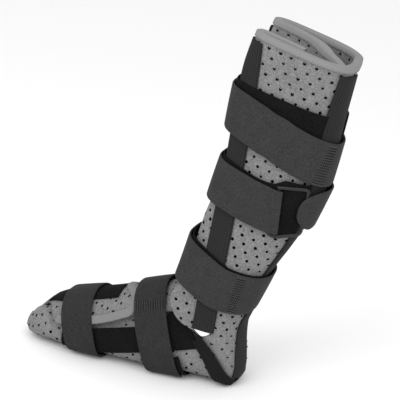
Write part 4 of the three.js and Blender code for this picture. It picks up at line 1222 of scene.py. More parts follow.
@dataclass
class Webbing:
    """Everything of sewn webbing: the side stays, the back webbing, the heel and foot bands."""

    finishes: Finishes
    stay_top: float = 0.25
    stay_foot: float = 9.05
    lean_top: float = 66.5
    lean_ankle: float = 47.0
    tip_width: float = 20.0
    tip_rows: float = 1.1
    tip_point: float = 0.07
    heel_width: float = 25.4
    heel_reach: float = 94.0
    heel_taper: float = 7.5
    heel_above: float = 8.5
    heel_spread: float = 8.5
    band_front: tuple[float, float] = (-142.0, 12.0)
    band_back: tuple[float, float] = (36.0, 60.0)
    band_rows: tuple[float, float] = (0.04, 5.6)
    band_taper: float = 0.15
    band_rise: float = 17.0
    top_rows: tuple[float, float] = (3.8, 7.38)

    @staticmethod
    def strip(name: str, lines: list[tuple[np.ndarray, np.ndarray]], shape: StripShape,
              width: float, least_z: float = -1.0) -> bpy.types.Object:
        """Makes a strip from the lines across it.

        Args:
            name: the piece's name.
            lines: underside and upper side points of each line across, in millimetres.
            shape: where the points across lie.
            width: width of the cloth's map.
            least_z: height that the inner side stays above if the strip runs under the boot, or below zero.

        Returns:
            The object.
        """
        skins = [shape.skins(low, high) for low, high in lines]
        outer, inner = (metres(np.array(part)) for part in zip(*skins))
        if least_z > 0:
            inner[..., 2] = np.maximum(inner[..., 2], least_z * MM)
            outer[..., 2] = np.maximum(outer[..., 2], 0.0)
        u = np.repeat((shape.shares * width / 2 * MM)[None, :], len(lines), 0)
        return grid_solid(name, outer, inner, u, lengths(outer, 0))

    def stay_distance(self, level: float) -> float:
        """Returns how far a stay's middle lies behind the panel's front edge.

        Args:
            level: where down the leg.

        Returns:
            The distance round the panel, in millimetres.
        """
        sec = LEG.at(level)
        side = (sec["fz"] + sec["bz"]) / 2
        share = (side - ANKLE_HEIGHT) / (LEG_HEIGHT - ANKLE_HEIGHT)
        x = self.lean_ankle + (self.lean_top - self.lean_ankle) * share
        reach = np.linspace(-WEBBING_WIDTH / 2, LEG_LENGTH / 2, 200)
        line = SKIN.round_panel(level, 1, reach, 0.0)[:, 0]
        ahead = np.maximum.accumulate(line)
        return float(np.interp(x, ahead, reach))

    def along_panel(self, name: str, side: int, levels: np.ndarray, widths: np.ndarray, thickness: float,
                    out: float) -> bpy.types.Object:
        """Builds a webbing strip that follows a side panel.

        Args:
            name: the piece's name.
            side: 1 for the near panel and -1 for the far one.
            levels: the levels of its lines across.
            widths: its width at each level.
            thickness: its thickness.
            out: clearance from the foam.

        Returns:
            The object.
        """
        lines = []
        for level, width in zip(levels, widths):
            reach = self.stay_distance(float(level)) + STAY_SHAPE.shares * width / 2
            lines.append((SKIN.round_panel(float(level), side, reach, out),
                          SKIN.round_panel(float(level), side, reach, out + thickness)))
        return self.strip(name, lines, STAY_SHAPE, WEBBING_WIDTH)

    def stays(self) -> None:
        """Builds both side stays' ribbed pockets and the stays' bare ends."""
        levels = np.linspace(self.stay_top, self.stay_foot, 120)
        tip_levels = np.linspace(self.stay_foot - 0.3, self.stay_foot + self.tip_rows, 16)
        bare = np.clip((tip_levels - self.stay_foot) / self.tip_rows, 0, 1)
        tip_widths = self.tip_width * (1 - (1 - self.tip_point) * bare)
        for side, word in ((1, "near"), (-1, "far")):
            pocket = self.along_panel(f"stay_pocket_{word}", side, levels,
                                      np.full(levels.shape, WEBBING_WIDTH), WEBBING, SEWN)
            dress(pocket, self.finishes["stay_webbing"], Slot.WEBBING, f"side_stay_{word}")
            tip = self.along_panel(f"stay_end_{word}", side, tip_levels, tip_widths, TIP_THICKNESS * 0.8,
                                   SEWN + 0.5)
            dress(tip, self.finishes["stay_plastic"], Slot.STAY, f"stay_tip_{word}")

    def back(self) -> None:
        """Builds the webbing down the back of the leg and the heel."""
        lines = []
        for level in np.linspace(self.stay_top, SEAM_ROW - 1.0, 110):
            middle = float(np.interp(level, *zip(*BACK_SHIFT)))
            half = float(np.interp(level, *zip(*BACK_WIDTH))) / 2
            reach = [middle + share * half + NUDGE for share in BACK_SHAPE.across]
            degs = np.array([LEG.angle_along(float(level), 0.0, distance) for distance in reach])
            lines.append((LEG.off(level, degs, SEWN), LEG.off(level, degs, SEWN + WEBBING)))
        obj = self.strip("back_webbing_strip", lines, BACK_SHAPE, WEBBING_WIDTH)
        dress(obj, self.finishes["heel_webbing"], Slot.WEBBING, "back_webbing")

    @staticmethod
    def foot_angle(angle: float) -> float:
        """Returns the angle on the foot's first section that lies beside an angle on the leg's last one.

        Args:
            angle: the angle on the leg.

        Returns:
            The angle on the foot, in degrees.
        """
        turns = np.linspace(0, 120, 400)
        lines = [Sections.outline(form.at(np.full(turns.shape, float(row))), deg)
                 for form, row, deg in ((LEG, SEAM_ROW, turns), (FOOT, 0, 180 - turns))]
        runs = [np.concatenate([[0], np.cumsum(np.hypot(np.diff(q), np.diff(y)))]) for q, y in lines]
        run = float(np.interp(abs(angle), turns, runs[0]))
        return 180 - math.copysign(float(np.interp(run, runs[1], turns)), angle)

    def beside_seam(self, angle: float, distance: float, out: float) -> np.ndarray:
        """Returns a point beside the heel seam: behind it on the leg, ahead of it on the foot.

        Args:
            angle: where along the seam, on the leg's last section.
            distance: distance from the seam, below zero on the leg.
            out: distance off the foam.

        Returns:
            The point, in millimetres.
        """
        if distance < 0:
            levels = np.linspace(SEAM_ROW, 6, 140)
            line = LEG.off(levels, np.full(levels.shape, angle), out)
        else:
            levels = np.linspace(0, 3, 90)
            line = FOOT.off(levels, np.full(levels.shape, self.foot_angle(angle)), out)
        run = np.maximum.accumulate(np.linalg.norm(line - line[0], axis=1))
        return np.array([np.interp(abs(distance), run, line[:, k]) for k in range(3)])

    def heel(self) -> None:
        """Builds the band under the heel and up both sides over the seam."""
        angles = np.linspace(self.heel_reach, -self.heel_reach, 100)
        lines = []
        for angle in angles:
            off = HEEL_Z - WEBBING + 2.6 * SEWN * float(smooth(abs(angle) / 25))
            ahead = self.heel_width / 2 - self.heel_taper * float(smooth((abs(angle) - 35) / 50))
            behind = self.heel_above + self.heel_spread * float(smooth((abs(angle) - 40) / 45))
            reach = [share * (behind if share < 0 else ahead) for share in HEEL_SHAPE.across]
            lines.append(tuple(np.array([self.beside_seam(angle, distance, height) for distance in reach])
                               for height in (off, off + WEBBING)))
        obj = self.strip("heel_seam_band", lines, HEEL_SHAPE, self.heel_width, 0.6 * WEBBING)
        dress(obj, self.finishes["heel_cloth"], Slot.WEBBING, "heel_band")

    def foot_band_angle(self, level: float) -> float:
        """Returns the angle at which the foot band's middle line crosses a foot section.

        Args:
            level: the foot section.

        Returns:
            The angle, in degrees.
        """
        (front_x, front_z), (back_x, back_z) = self.band_front, self.band_back
        deg = np.linspace(60, 175, 400)
        p = FOOT.off(np.full(deg.shape, level), deg, 0.0)
        line = front_z + (back_z - front_z) * (p[:, 0] - front_x) / (back_x - front_x)
        return float(np.interp(0.0, line - p[:, 2], deg))

    def foot_bands(self) -> None:
        """Builds the loop bands along both sides of the foot."""
        for side, word in ((1, "near"), (-1, "far")):
            lines = []
            for level in np.linspace(*self.band_rows, 76):
                rise = self.band_rise * float(smooth((2.2 - level) / 1.5))
                width = FOOT_BAND_WIDTH * (1 - self.band_taper * float(smooth((level - 4) / 2))) + rise
                mid = FOOT.angle_along(float(level), self.foot_band_angle(float(level)), -rise / 2 - NUDGE)
                reach = [share * width / 2 + NUDGE for share in BAND_SHAPE.across]
                degs = side * np.array([FOOT.angle_along(float(level), mid, distance) for distance in reach])
                lines.append((FOOT.off(level, degs, SEWN), FOOT.off(level, degs, SEWN + WEBBING)))
            obj = self.strip(f"foot_loop_band_{word}", lines, BAND_SHAPE, FOOT_BAND_WIDTH)
            dress(obj, self.finishes["loop_cloth"], Slot.LOOP, f"foot_band_{word}")

    def top_strip(self) -> None:
        """Builds the loop strip on top of the foot flap."""
        levels = np.linspace(*self.top_rows, 60)
        lines = []
        for level, edge in zip(levels, FoamWraps.angle_at_height(levels)):
            width = KEEPER_WIDTH * (1 - self.band_taper * float(smooth(level - 6)))
            reach = [share * width / 2 + NUDGE for share in TOP_SHAPE.across]
            degs = np.array([FOOT.angle_along(float(level), 0.0, distance) for distance in reach])
            lift = LAP_LIFT * smooth(degs / edge) + SEWN
            lines.append((FOOT.off(level, degs, lift), FOOT.off(level, degs, lift + KEEPER)))
        obj = self.strip("foot_loop_strip", lines, TOP_SHAPE, KEEPER_WIDTH)
        dress(obj, self.finishes["loop_cloth"], Slot.LOOP, "foot_top_strip")


def ring_shape(rings: Sequence[tuple[float, float]], sides: int) -> tuple[np.ndarray, list[list[int]]]:
    """Returns a small closed turned shape: radius and height pairs from the middle of the top down.

    Args:
        rings: radius and height of each ring, in metres; a zero radius closes an end.
        sides: points round it.

    Returns:
        Its points and faces.
    """
    points: list[tuple[float, float, float]] = []
    starts: list[int] = []
    for radius, height in rings:
        starts.append(len(points))
        if radius == 0:
            points.append((0.0, 0.0, height))
            continue
        for k in range(sides):
            a = math.tau * k / sides
            points.append((radius * math.cos(a), radius * math.sin(a), height))
    faces: list[list[int]] = []
    for i in range(len(rings) - 1):
        top, low = starts[i], starts[i + 1]
        for k in range(sides):
            n = (k + 1) % sides
            if rings[i][0] == 0:
                faces.append([top, low + k, low + n])
            elif rings[i + 1][0] == 0:
                faces.append([top + n, top + k, low])
            else:
                faces.append([top + k, low + k, low + n, top + n])
    return np.array(points), faces


class Repeats:
    """Places one small shape on many points with Geometry Nodes."""

    # Radius and height of each ring, in metres
    hole_rings = ((0, 0.00004), (0.00135, 0.00006), (0.00165, 0.0002), (0.0019, 0.00016),
                  (0.00205, -0.0001), (0.0016, -0.0005), (0, -0.0005))
    stitch_rings = ((0, 0.00125), (0.0002, 0.0011), (0.00026, 0.0007), (0.00026, -0.0007),
                    (0.0002, -0.0011), (0, -0.00125))

    def __init__(self) -> None:
        """Builds the node tree and the two small shapes."""
        tree = bpy.data.node_groups.new("place_repeats", "GeometryNodeTree")
        sockets = (
            ("Points", "NodeSocketGeometry"), ("Shape", "NodeSocketObject"), ("Finish", "NodeSocketMaterial"),
            ("Smallest", "NodeSocketFloat"), ("Largest", "NodeSocketFloat"), ("Seed", "NodeSocketInt"),
        )
        self.socket_ids: dict[str, str] = {}
        for name, kind in sockets:
            socket = tree.interface.new_socket(name=name, in_out="INPUT", socket_type=kind)
            self.socket_ids[name] = socket.identifier
        tree.interface.new_socket(name="Geometry", in_out="OUTPUT", socket_type="NodeSocketGeometry")
        g = Graph(tree)
        source = g.add("NodeGroupInput")
        shape = g.add("GeometryNodeObjectInfo", {"Object": source.outputs["Shape"]})
        facing = g.add("GeometryNodeInputNamedAttribute", {"Name": "facing"}, data_type="FLOAT_VECTOR")
        heading = g.add("GeometryNodeInputNamedAttribute", {"Name": "heading"}, data_type="FLOAT_VECTOR")
        upright = g.add("FunctionNodeAlignRotationToVector", {
            "Vector": facing.outputs["Attribute"]}, axis="Z")
        turned = g.add("FunctionNodeAlignRotationToVector", {
            "Rotation": upright.outputs[0], "Vector": heading.outputs["Attribute"]}, axis="X", pivot_axis="Z")
        size = g.add("FunctionNodeRandomValue", {
            2: source.outputs["Smallest"], 3: source.outputs["Largest"], 8: source.outputs["Seed"]},
            data_type="FLOAT")
        placed = g.add("GeometryNodeInstanceOnPoints", {
            "Points": source.outputs["Points"], "Instance": shape.outputs["Geometry"],
            "Rotation": turned.outputs[0], "Scale": size.outputs[1]})
        real = g.add("GeometryNodeRealizeInstances", {"Geometry": placed.outputs[0]})
        finish = g.add("GeometryNodeSetMaterial", {
            "Geometry": real.outputs[0], "Material": source.outputs["Finish"]})
        out = g.add("NodeGroupOutput")
        g.link(finish.outputs[0], out.inputs[0])
        self.tree = tree
        points, faces = ring_shape(self.hole_rings, 10)
        self.hole = mesh_object("hole_shape", points, faces)
        points, faces = ring_shape(self.stitch_rings, 5)
        laid = np.stack([points[:, 2], points[:, 1], points[:, 0] - 0.00006], 1)
        self.stitch = mesh_object("stitch_shape", laid, [f[::-1] for f in faces])
        self.count = 0

    def place(self, name: str, shape: bpy.types.Object, points: np.ndarray, facing: np.ndarray,
              heading: np.ndarray, material: bpy.types.Material, slot: Slot,
              sizes: tuple[float, float] = (1.0, 1.0)) -> bpy.types.Object:
        """Places a shape on points.

        Args:
            name: the new piece's name.
            shape: the shape to repeat.
            points: where, in metres.
            facing: which way each shape's Z turns.
            heading: which way its X turns.
            material: its finish.
            slot: the record's slot.
            sizes: smallest and largest scale.

        Returns:
            The finished piece.
        """
        self.count += 1
        obj = mesh_object(name, points, [])
        for key, values in (("facing", facing), ("heading", heading)):
            layer = obj.data.attributes.new(key, "FLOAT_VECTOR", "POINT")
            layer.data.foreach_set("vector", np.asarray(values, dtype=np.float32).ravel())
        modifier = obj.modifiers.new("repeats", "NODES")
        modifier.node_group = self.tree
        settings = {"Shape": shape, "Finish": material, "Smallest": sizes[0], "Largest": sizes[1],
                    "Seed": self.count}
        for key, value in settings.items():
            modifier[self.socket_ids[key]] = value
        graph = bpy.context.evaluated_depsgraph_get()
        made = bpy.data.meshes.new_from_object(obj.evaluated_get(graph))
        obj.modifiers.remove(modifier)
        obj.data = made
        return dress(obj, material, slot)

    def clear(self) -> None:
        """Removes the small shapes once everything is placed."""
        for shape in (self.hole, self.stitch):
            bpy.data.objects.remove(shape)


@dataclass
class Perforations:
    """The round holes punched through both foam wraps, drawn as near-black discs of painted shade for the
    holes' shadowed insides.
    """

    finishes: Finishes
    repeats: Repeats
    foam: FoamWraps
    pitch: float = 13.9
    row_pitch: float = 9.2
    spare: float = 8.2
    lift: float = 0.02
    leg_line: float = 6.0
    foot_line: float = -70.0

    def lattice(self, surface: Callable, levels: np.ndarray, reference: float,
                span: Callable[[float], tuple[float, float, float]], depth: float) -> tuple[np.ndarray, ...]:
        """Returns a staggered lattice of points on a surface.

        Args:
            surface: point function of level, place and depth.
            levels: levels to run over.
            reference: place along which the rows are spaced.
            span: lowest place, highest place and origin of a row's spacing at a level.
            depth: how deep the points lie.

        Returns:
            Points in millimetres, their facings and headings.
        """
        line = surface(levels, np.full(levels.shape, reference), depth)
        run = run_along(line)
        outward = 1.0 if depth > 1 else -1.0
        kept = [np.empty((0, 3))] * 3
        for k in range(1, int(run[-1] / self.row_pitch)):
            level = float(np.interp(k * self.row_pitch, run, levels))
            low, high, origin = span(level)
            place = np.linspace(low, high, 900)
            row = surface(np.full(place.shape, level), place, depth)
            along = run_along(row)
            start = float(np.interp(origin, place, along)) + self.pitch * 0.5 * (k % 2)
            first = -math.floor((start - 3.0) / self.pitch)
            steps = start + self.pitch * np.arange(first, first + 60)
            steps = steps[(steps > 2.5) & (steps < along[-1] - 2.5)]
            at = np.interp(steps, along, place)
            here = np.full(at.shape, level)
            points = surface(here, at, depth)
            facing = surface(here, at, depth + outward) - points
            heading = surface(here, at + 1e-3 * (high - low), depth) - points
            if len(kept[0]) and len(points):
                gap = np.linalg.norm(points[:, None, :] - kept[0][None, :, :], axis=2).min(axis=1)
                keep = gap > self.spare
            else:
                keep = np.ones(len(points), bool)
            kept = [np.concatenate([old, new[keep]]) for old, new in zip(kept, (points, facing, heading))]
        return tuple(kept)

    def build(self) -> None:
        """Builds the holes' painted-shade discs on the outer and inner skins."""
        def leg_span(level: float) -> tuple[float, float, float]:
            """Returns the leg's columns at a level.

            Args:
                level: where down the leg.

            Returns:
                Lowest and highest column, and where the row's spacing starts.
            """
            middle = SKIN.near_end + SKIN.panel / 2
            if level < SKIN.fold_rows:
                return 0.1, SKIN.columns - 0.1, middle
            return SKIN.near_end + 0.2, SKIN.far_start - 0.2, middle

        def foot_surface(level: np.ndarray, place: np.ndarray, depth: float) -> np.ndarray:
            """Returns the foot's skin, place running from the sole's middle to both sides."""
            return self.foam.foot_skin(level, 180 + place, place > 0, depth)

        def foot_span(level: float) -> tuple[float, float, float]:
            """Returns the foot's places at a level.

            Args:
                level: where along the foot.

            Returns:
                Lowest and highest place, and where the row's spacing starts.
            """
            edge = float(self.foam.angle_at_height(np.array(level)))
            end = 180 + edge if level < self.foam.flap_front else 180 - self.foam.toe_gap
            return edge - 179, end - 1, 0.0

        leg_levels = np.linspace(0, SEAM_ROW - 0.1, 800)
        foot_levels = np.linspace(0.05, TOE_ROW - 0.05, 600)
        # Every hole is a near-black disc of painted shade, on both skins
        for word, depth in (("outer", -self.lift), ("inner", FOAM + self.lift)):
            points, facing, heading = self.lattice(
                self.foam.leg_skin, leg_levels, SKIN.near_end + self.leg_line, leg_span, depth)
            self.repeats.place(f"leg_holes_{word}", self.repeats.hole, metres(points), facing, heading,
                               self.finishes["punched_hole_shade"], Slot.FOAM, (0.78, 1.0))
        points, facing, heading = self.lattice(
            foot_surface, foot_levels, self.foot_line, foot_span, -self.lift)
        self.repeats.place("foot_holes_outer", self.repeats.hole, metres(points), facing, heading,
                           self.finishes["punched_hole_shade"], Slot.FOAM, (0.76, 0.98))


@dataclass
class Seams:
    """Lines of thread that hold the rim's binding."""

    finishes: Finishes
    repeats: Repeats
    foam: FoamWraps
    pitch: float = 3.4
    inset: float = 1.6

    def build(self) -> None:
        """Sews the rim binding's outer and inner edges."""
        level = (self.foam.rim_width - self.inset) * RIM_LEVELS_PER_MM
        columns = np.linspace(0.3, SKIN.columns - 0.3, 1600)
        sides = []
        for depth, outward in ((-1.15 * (GAP + BINDING), -1.0), (FOAM + 1.1 * (GAP + BINDING), 1.0)):
            line = SKIN.point(np.full(columns.shape, level), columns, np.full(columns.shape, depth))
            run = run_along(line)
            at = np.interp(np.arange(2.0, run[-1] - 2.0, self.pitch), run, columns)
            here = np.full(at.shape, level)
            points = SKIN.point(here, at, np.full(at.shape, depth))
            facing = SKIN.point(here, at, np.full(at.shape, depth + outward)) - points
            heading = SKIN.point(here, at + 0.02, np.full(at.shape, depth)) - points
            sides.append((points, facing, heading))
        points, facing, heading = (np.concatenate(parts) for parts in zip(*sides))
        self.repeats.place("rim_thread", self.repeats.stitch, metres(points), facing, heading,
                           self.finishes["thread_grey"], Slot.BINDING)


UNDER_KEEPER = SEWN + WEBBING + 2 * GAP
UNDER_STRAP = UNDER_KEEPER + KEEPER + SLACK
OVER_FLAP = LAP_LIFT + SEWN + BINDING + 2 * GAP
OVER_BAND = SEWN + WEBBING + 2 * GAP
OVER_KEEPER = OVER_BAND + KEEPER + SLACK


@dataclass
class Straps:
    """The hook-and-loop straps round the leg and the foot, their keepers and the calf ring."""

    finishes: Finishes
    top_rows: tuple = ((0, 0.532), (1, 0.705), (2, 0.532))
    top_keeper_rows: tuple = ((0, 0.632), (0.5, 0.68), (1, 0.727), (1.5, 0.68), (2, 0.632))
    calf_rows: tuple = ((0, 0.352), (0.3, 0.336), (0.55, 0.36), (1, 0.415), (2, 0.352))
    calf_keeper_rows: tuple = ((0, 0.345), (0.55, 0.365), (1, 0.43), (2, 0.345))
    ankle_rows: tuple = ((0, -0.03), (0.45, -0.002), (1, 0.08), (1.55, -0.008), (2, -0.03))
    ankle_keeper_rows: tuple = ((0, -0.03), (0.45, 0.005), (1, 0.09), (1.55, 0.005), (2, -0.03))
    ring_back: float = 36.0
    ring_span: float = 33.0
    band_reach: float = 0.4
    ring_corner: float = 4.0
    ring_sink: float = 1.4
    ring_depth: float = 1.25
    calf_deg: float = 50.0
    sewn_ends: tuple = (("top", "leg", 28.8, 5, 2.7), ("ankle", "leg", 57.6, 4, 2.4),
                        ("instep", "foot", 47.3, 5, 2.4))
    stitch_step: float = 3.0
    stitch_sizes: tuple[float, float] = (1.0, 1.1)
    prick_sizes: tuple[float, float] = (0.4, 0.45)
    repeats: Repeats | None = None
    frames: dict[str, tuple] = field(default_factory=dict)

    @property
    def ring_length(self) -> float:
        """Length of the calf ring along the strap."""
        return RING_OPENING / 6 + 2 * RING_WIRE

    @staticmethod
    def level_of(rows: Sequence[tuple[float, float]], deg: np.ndarray | float) -> np.ndarray:
        """Returns the levels at which a strap crosses angles round the leg.

        Args:
            rows: place and height pairs; place is 0 at the back, 1 at the front and 2 at the back again.
            deg: angles round the leg.

        Returns:
            One level for each angle.
        """
        at, heights = zip(*rows)
        deg = np.asarray(deg, float)
        level = np.full(deg.shape, 3.0)
        for _ in range(5):
            sec = LEG.at(level)
            q, _y = Sections.outline(sec, deg)
            share = 1 - np.clip(q / sec["length"], 0, 1)
            place = np.where(np.sin(np.radians(deg)) >= 0, share, 2 - share)
            z = ANKLE_HEIGHT + (LEG_HEIGHT - ANKLE_HEIGHT) * np.interp(place, at, heights)
            level = LEG.level_where(deg, 2, z)
        return level

    def leg_frames(self, rows: Sequence[tuple[float, float]], degs: np.ndarray, out: float,
                   ) -> tuple[np.ndarray, np.ndarray, np.ndarray]:
        """Returns a leg band's middle line with its across and outward directions.

        Args:
            rows: the band's middle line, as place and height pairs.
            degs: angles round the leg.
            out: clearance from the foam, in millimetres.

        Returns:
            The line, the directions across the band and the directions away from the boot.
        """
        levels = self.level_of(rows, degs)
        kernel = np.array([1, 2, 3, 2, 1]) / 9
        padded = np.pad(levels, 2, mode="edge")
        levels = np.convolve(padded, kernel, mode="valid")
        turned = np.abs(np.mod(degs, 360) - 180)
        clear = out + 1.1 * smooth(1 - np.abs(turned - 38) / 34)
        mid = LEG.off(levels, degs, clear)
        above = LEG.off(levels - self.band_reach, degs, clear)
        below = LEG.off(levels + self.band_reach, degs, clear)
        away = mid - LEG.place(LEG.at(levels), LEG.at(levels)["length"] / 2, 0)
        return mid, *square_frames(np.gradient(mid, axis=0), above - below, away)

    def leg_band(self, name: str, rows: Sequence[tuple[float, float]], out: float, width: float,
                 thickness: float, material: str, slot: Slot, node: str, start: float = 0.0,
                 end: float = 360.0, loop: bool = True, tab: float = 0.0, seed: float = 0.0,
                 wider: tuple[float, float, float] = (0.0, 1.0, 0.0)) -> bpy.types.Object:
        """Builds one band round the leg.

        Args:
            name: the piece's name.
            rows: the band's middle line.
            out: clearance from the foam, in millimetres.
            width: band width.
            thickness: band thickness.
            material: finish name.
            slot: the record's slot.
            node: the solid it stands for.
            start: first angle.
            end: last angle.
            loop: true for a closed band.
            tab: length of a rounded end, or 0.
            seed: which set of small waves it has.
            wider: angle, reach in degrees and extra width of a wider part.

        Returns:
            The piece.
        """
        n = 150
        degs = np.linspace(start, end, n, endpoint=not loop)
        if loop:
            wide = np.concatenate([degs[-6:] - 360, degs, degs[:6] + 360])
            mid, up, side = (v[6:-6] for v in self.leg_frames(rows, wide, out))
        else:
            mid, up, side = self.leg_frames(rows, degs, out)
        run = run_along(mid)
        widths = np.full(n, width)
        if tab:
            into = np.clip(1 - (run[-1] - run) / tab, 0, 1)
            widths = width * np.sqrt(np.clip(1 - into ** 2.2 * 0.96, 0.02, 1))
        widths = widths + wider[2] * smooth(2 - 2 * np.abs(degs - wider[0]) / wider[1])
        wave = wobble(degs * 0.045, np.full(n, seed), seed)
        taper = smooth(np.minimum(np.arange(n), np.arange(n)[::-1]) / 12) if not loop else np.ones(n)
        mid = mid + side * (0.35 * wave * taper)[:, None]
        obj = swept(name, metres(mid), up, side, band_profile(0.045, 0.12, 11), widths * MM,
                    np.full(n, thickness * MM), loop)
        self.frames[name] = (degs, mid, up, side, widths, thickness)
        return dress(obj, self.finishes[material], slot, node)

    def stitched_zone(self, name: str, band: str, deg: float, rows: int, row_pitch: float, step: float,
                      material: str, prick: bool) -> None:
        """Sews rows of thread across a band where one end is folded on itself.

        Args:
            name: the new piece's name.
            band: the band's name.
            deg: the angle at which the rows are centred.
            rows: how many rows.
            row_pitch: distance between rows, in millimetres.
            step: distance between stitches.
            material: the thread's finish.
            prick: true for the needle holes between the stitches, drawn as dark discs of painted shade.
        """
        degs, mid, up, side, widths, thickness = self.frames[band]
        run = run_along(mid)
        centre = float(np.interp(deg, degs, run))
        points, facing, heading = [], [], []
        for k in range(rows):
            at = centre + (k - (rows - 1) / 2) * row_pitch
            m, u, o = (np.array([np.interp(at, run, v[:, j]) for j in range(3)]) for v in (mid, up, side))
            half = float(np.interp(at, run, widths)) / 2 - 2.2
            for v in np.arange(-half + (step / 2 if prick else 0), half, step):
                share = v / (half + 2.2)
                lift = thickness * (1.0 + 0.12 * (1 - share * share)) + (0.3 if prick else 0.02)
                points.append(m + u * v + o * lift)
                facing.append(o)
                heading.append(u)
        shape = self.repeats.hole if prick else self.repeats.stitch
        scale = self.prick_sizes if prick else self.stitch_sizes
        self.repeats.place(name, shape, metres(np.array(points)), np.array(facing),
                           np.array(heading), self.finishes[material], Slot.STRAP, scale)

    def stitches(self) -> None:
        """Sews the folded ends of the top, ankle and instep straps, with dots of painted shade in the needle
        holes.
        """
        for word, form, deg, rows, pitch in self.sewn_ends:
            band = f"{word}_{form}_strap"
            # The pricks are near-black dots of painted shade in the needle holes
            for part, material, prick in (("thread", "thread_light", False), ("pricks", "needle_prick_shade", True)):
                self.stitched_zone(f"{word}_strap_{part}", band, deg, rows, pitch, self.stitch_step, material,
                                   prick)

    def keeper(self, name: str, rows: Sequence[tuple[float, float]], node: str, seed: float,
               wider: tuple[float, float, float] = (0.0, 1.0, 0.0)) -> None:
        """Builds a loop keeper from one side of the back webbing round the front to the other.

        Args:
            name: the piece's name.
            rows: the keeper's middle line.
            node: the solid it stands for.
            seed: which set of small waves it has.
            wider: angle, reach in degrees and extra width of a wider part.
        """
        level = float(self.level_of(rows, 0.0))
        here = float(np.interp(level, *zip(*BACK_SHIFT)))
        clear = float(np.interp(level, *zip(*BACK_WIDTH))) / 2 + 0.6
        start = LEG.angle_along(level, 0.0, here + clear)
        end = 360 + LEG.angle_along(level, 0.0, here - clear)
        self.leg_band(name, rows, UNDER_KEEPER - 1.3, KEEPER_WIDTH, KEEPER, "loop_cloth", Slot.LOOP, node,
                      start, end, False, 0.0, seed, wider)

    def leg_straps(self) -> None:
        """Builds the three leg straps with their keepers and the ring."""
        self.keeper("top_loop_keeper", self.top_keeper_rows, "top_keeper", 0.4)
        self.leg_band("top_leg_strap", self.top_rows, UNDER_STRAP - 1.2, STRAP_WIDTH, STRAP, "strap_cloth",
                      Slot.STRAP, "top_strap", seed=1.0)
        level = float(self.level_of(self.calf_rows, self.calf_deg))
        ring_deg = LEG.angle_along(level, 0.0, self.ring_back + self.ring_length / 2)
        self.keeper("calf_loop_keeper", self.calf_keeper_rows, "calf_keeper", 2.2, (ring_deg - 9, 30.0, 15.0))
        start = LEG.angle_along(level, 0.0, self.ring_back + self.ring_length - 4.0)
        end = 360 + LEG.angle_along(level, 0.0, self.ring_back - 3.0)
        self.leg_band("calf_leg_strap", self.calf_rows, UNDER_STRAP - 0.6, STRAP_WIDTH, STRAP, "strap_cloth",
                      Slot.STRAP, "calf_strap", start, end, False, 30.0, 3.1)
        self.keeper("ankle_loop_keeper", self.ankle_keeper_rows, "ankle_keeper", 4.1)
        self.leg_band("ankle_leg_strap", self.ankle_rows, UNDER_STRAP - 0.4, STRAP_WIDTH, STRAP,
                      "strap_cloth", Slot.STRAP, "ankle_strap", seed=5.3)

    def ring(self) -> None:
        """Builds the calf strap's moulded ring."""
        middle = self.ring_back + self.ring_length / 2 - 4.0
        level = float(self.level_of(self.calf_rows, self.calf_deg))
        half_w, half_h, radius = self.ring_span / 2, RING_OPENING / 2 + RING_WIRE, self.ring_corner
        corners = []
        for sx, sy, begin in ((1, 1, 0), (-1, 1, 90), (-1, -1, 180), (1, -1, 270)):
            for a in np.linspace(begin, begin + 90, 7):
                corners.append((sx * (half_w - radius - RING_WIRE / 2) + radius * math.cos(math.radians(a)),
                                sy * (half_h - radius - RING_WIRE / 2) + radius * math.sin(math.radians(a))))
        path = np.array(corners)
        step = np.roll(path, -1, 0) - np.roll(path, 1, 0)
        step /= np.linalg.norm(step, axis=1)[:, None]
        normal = np.stack([step[:, 1], -step[:, 0]], 1)
        reach = np.linspace(middle - self.ring_span, middle + self.ring_span, 61)
        degs = np.array([LEG.angle_along(level, 0.0, float(v) + NUDGE) for v in reach])
        lines = self.leg_frames(self.calf_rows, degs, UNDER_STRAP - self.ring_sink)
        mid, up, side = (np.stack([np.interp(middle + path[:, 0], reach, line[:, k]) for k in range(3)], 1)
                         for line in lines)
        along = np.cross(up, side)
        along *= np.sign((along * np.gradient(lines[0], axis=0)[30]).sum(axis=1))[:, None]
        centre = mid + path[:, 1:] * up
        across = normal[:, :1] * along + normal[:, 1:] * up
        ring = np.array([(math.cos(a), math.sin(a)) for a in np.linspace(0, math.tau, 12, endpoint=False)])
        n = len(path)
        obj = swept("calf_strap_ring", metres(centre), across, side, ring,
                    np.full(n, RING_WIRE * 1.2 * MM), np.full(n, self.ring_depth * MM), True)
        dress(obj, self.finishes["ring_plastic"], Slot.RING, "calf_ring")

